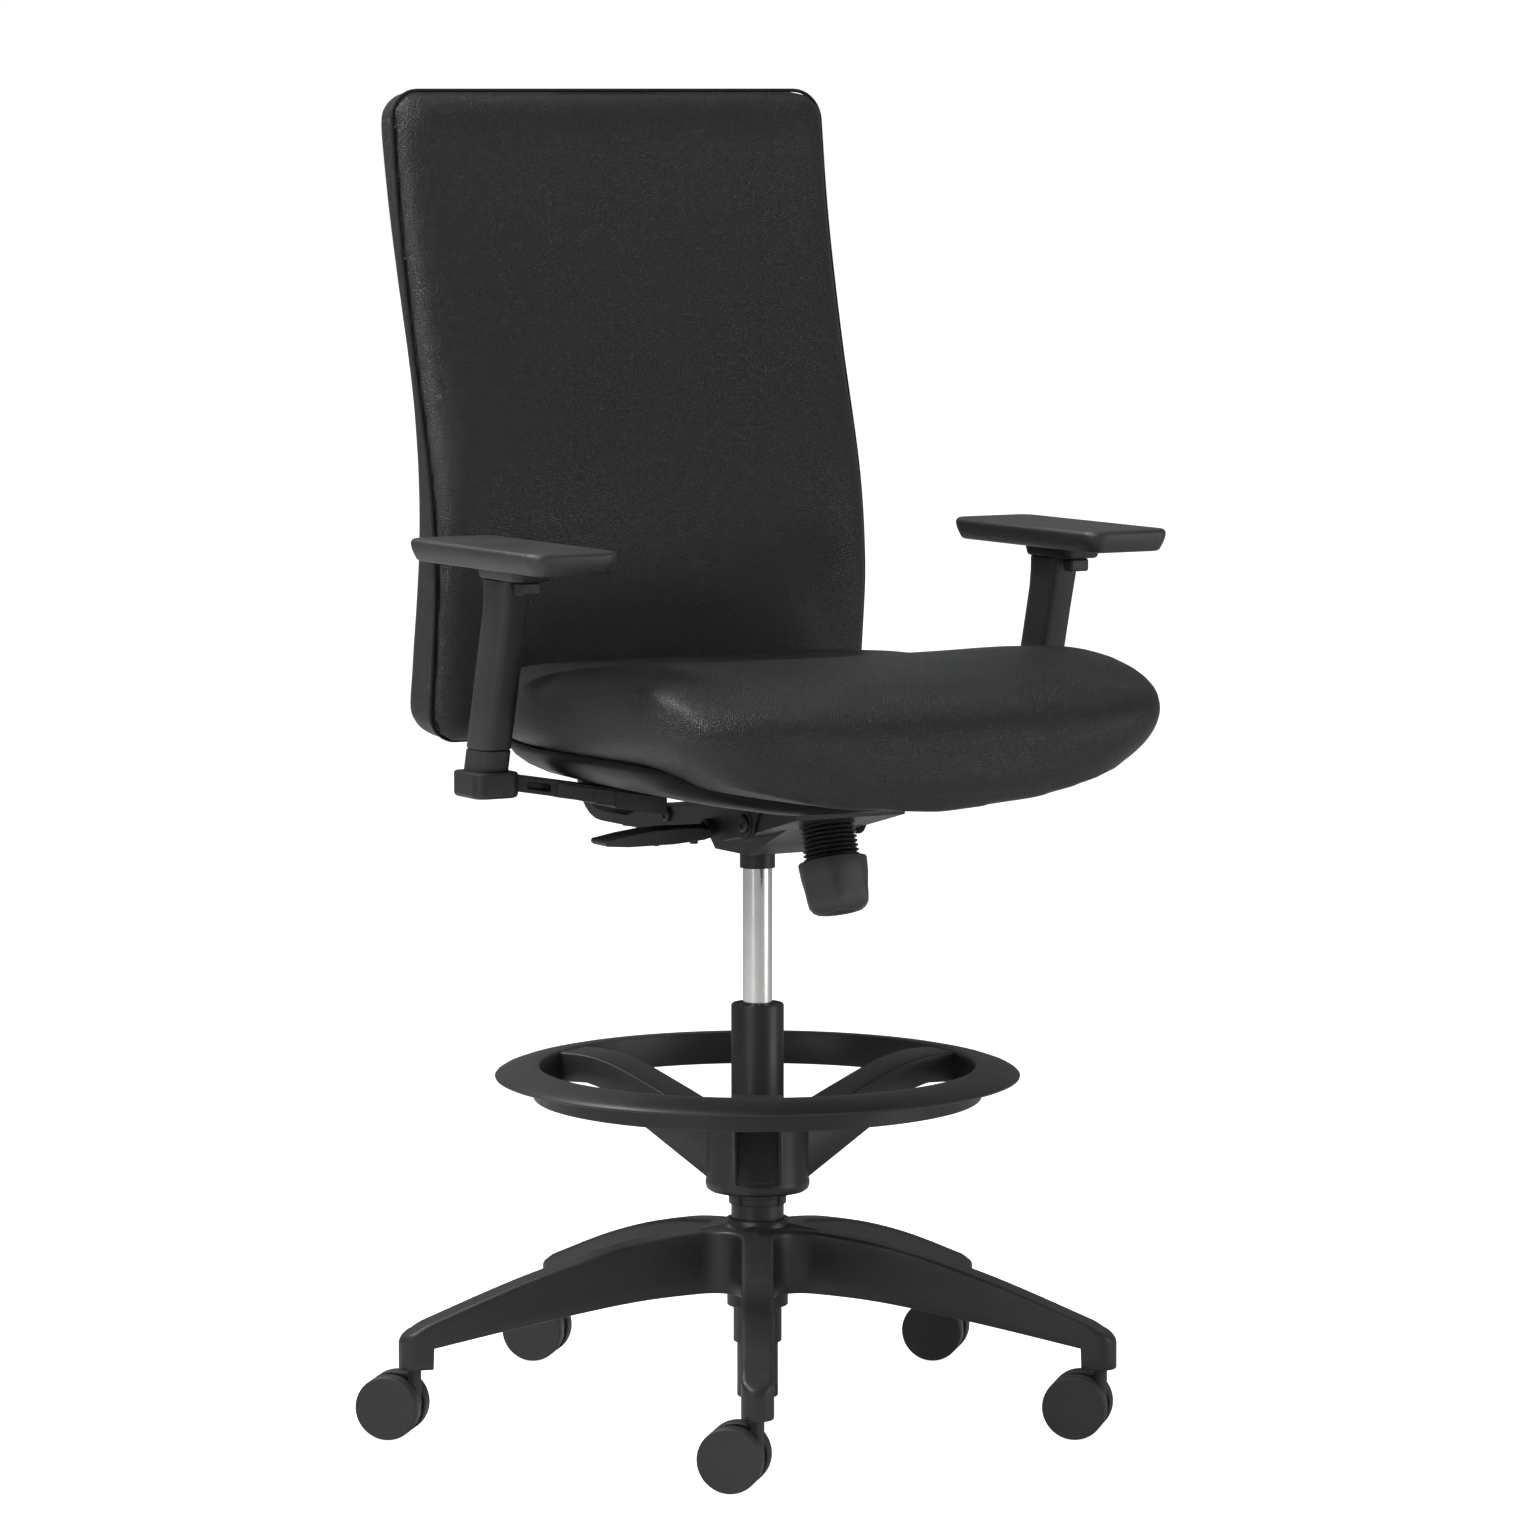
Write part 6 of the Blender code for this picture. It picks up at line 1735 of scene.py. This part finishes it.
def arm_tray(tag, stand):
    low, high = reach(f"arm_pad_base_{tag}")
    head_y = post_y(SLEEVE_TOP) - 0.011
    tray_rings = []
    for inset, z in [(inset, low.z + lift) for inset, lift in TRAY_LEVELS] + [(-0.0015, high.z)]:
        plan = rounded_box(0.0195 - inset, 0.0385 - inset, 0.009 - inset * 0.8, 8)
        tray_rings.append([(x, head_y + y, z) for x, y in plan])
    tray = rolled(f"arm_tray_{tag}", tray_rings)
    smooth(tray, 35)
    settle(tray, stand)
    hand_over(tray, f"armrest_{tag}", "black_plastic", POST_PLASTIC, f"arm_pad_base_{tag}")


def arm_button(tag):
    trigger = frame_copy(f"arm_trigger_{tag}", f"arm_button_{tag}")
    ease_edges(trigger, 0.0012, 3, 30)
    hand_over(trigger, f"trigger_{tag}", "black_plastic", PLASTIC, f"arm_trigger_{tag}")


def arm_cushion(tag, stand):
    pad_rings = [plan_ring(0.030, 0.8222), plan_ring(0.0100, 0.8222), plan_ring(0.0075, 0.8228)]
    pad_rings += [plan_ring(0.0055, 0.8242), plan_ring(0.0030, 0.8290), plan_ring(0.0010, 0.8335)]
    for i in range(9):
        turn = pi / 2 * i / 8
        pad_rings.append(plan_ring(RIM_R * (1 - cos(turn)), RIM_Z + RIM_R * sin(turn)))
    pad_rings += [plan_ring(0.010, 0.8436), plan_ring(0.020, 0.8439), plan_ring(0.032, PAD_TOP)]
    pad = rolled(f"arm_cushion_{tag}", pad_rings)
    smooth(pad, 50)
    settle(pad, stand)
    hand_over(pad, f"armrest_{tag}", "arm_pad", PAD_SKIN, f"arm_pad_{tag}")


# %% [markdown]
# With every tool at hand, both arms come from one short loop.

# %% Both arms
for side, tag in ((-1, "right"), (1, "left")):
    stand = TO_COLUMN @ Matrix.Translation((side * ARM_X, 0, 0))
    arm_rail(side, tag)
    arm_guides(side, tag)
    arm_socket(tag, stand)
    arm_post(tag, stand)
    arm_tray(tag, stand)
    arm_button(tag)
    arm_cushion(tag, stand)


# %% [markdown]
# ## The small steel parts
#
# The frame's solids that no dressed piece stands for are the small steel parts: castor stems and
# axles, the bearing, the rod, the valve button and the spring. They get the steel here.

# %% Steel for the rest of the frame
for name, solid in frame["nodes"].items():
    if not solid.hide_render:
        solid.data.materials.clear()
        solid.data.materials.append(STEEL)
        print("kept from the frame, in steel:", name)
only(floor)
bpy.ops.object.select_all(action="DESELECT")
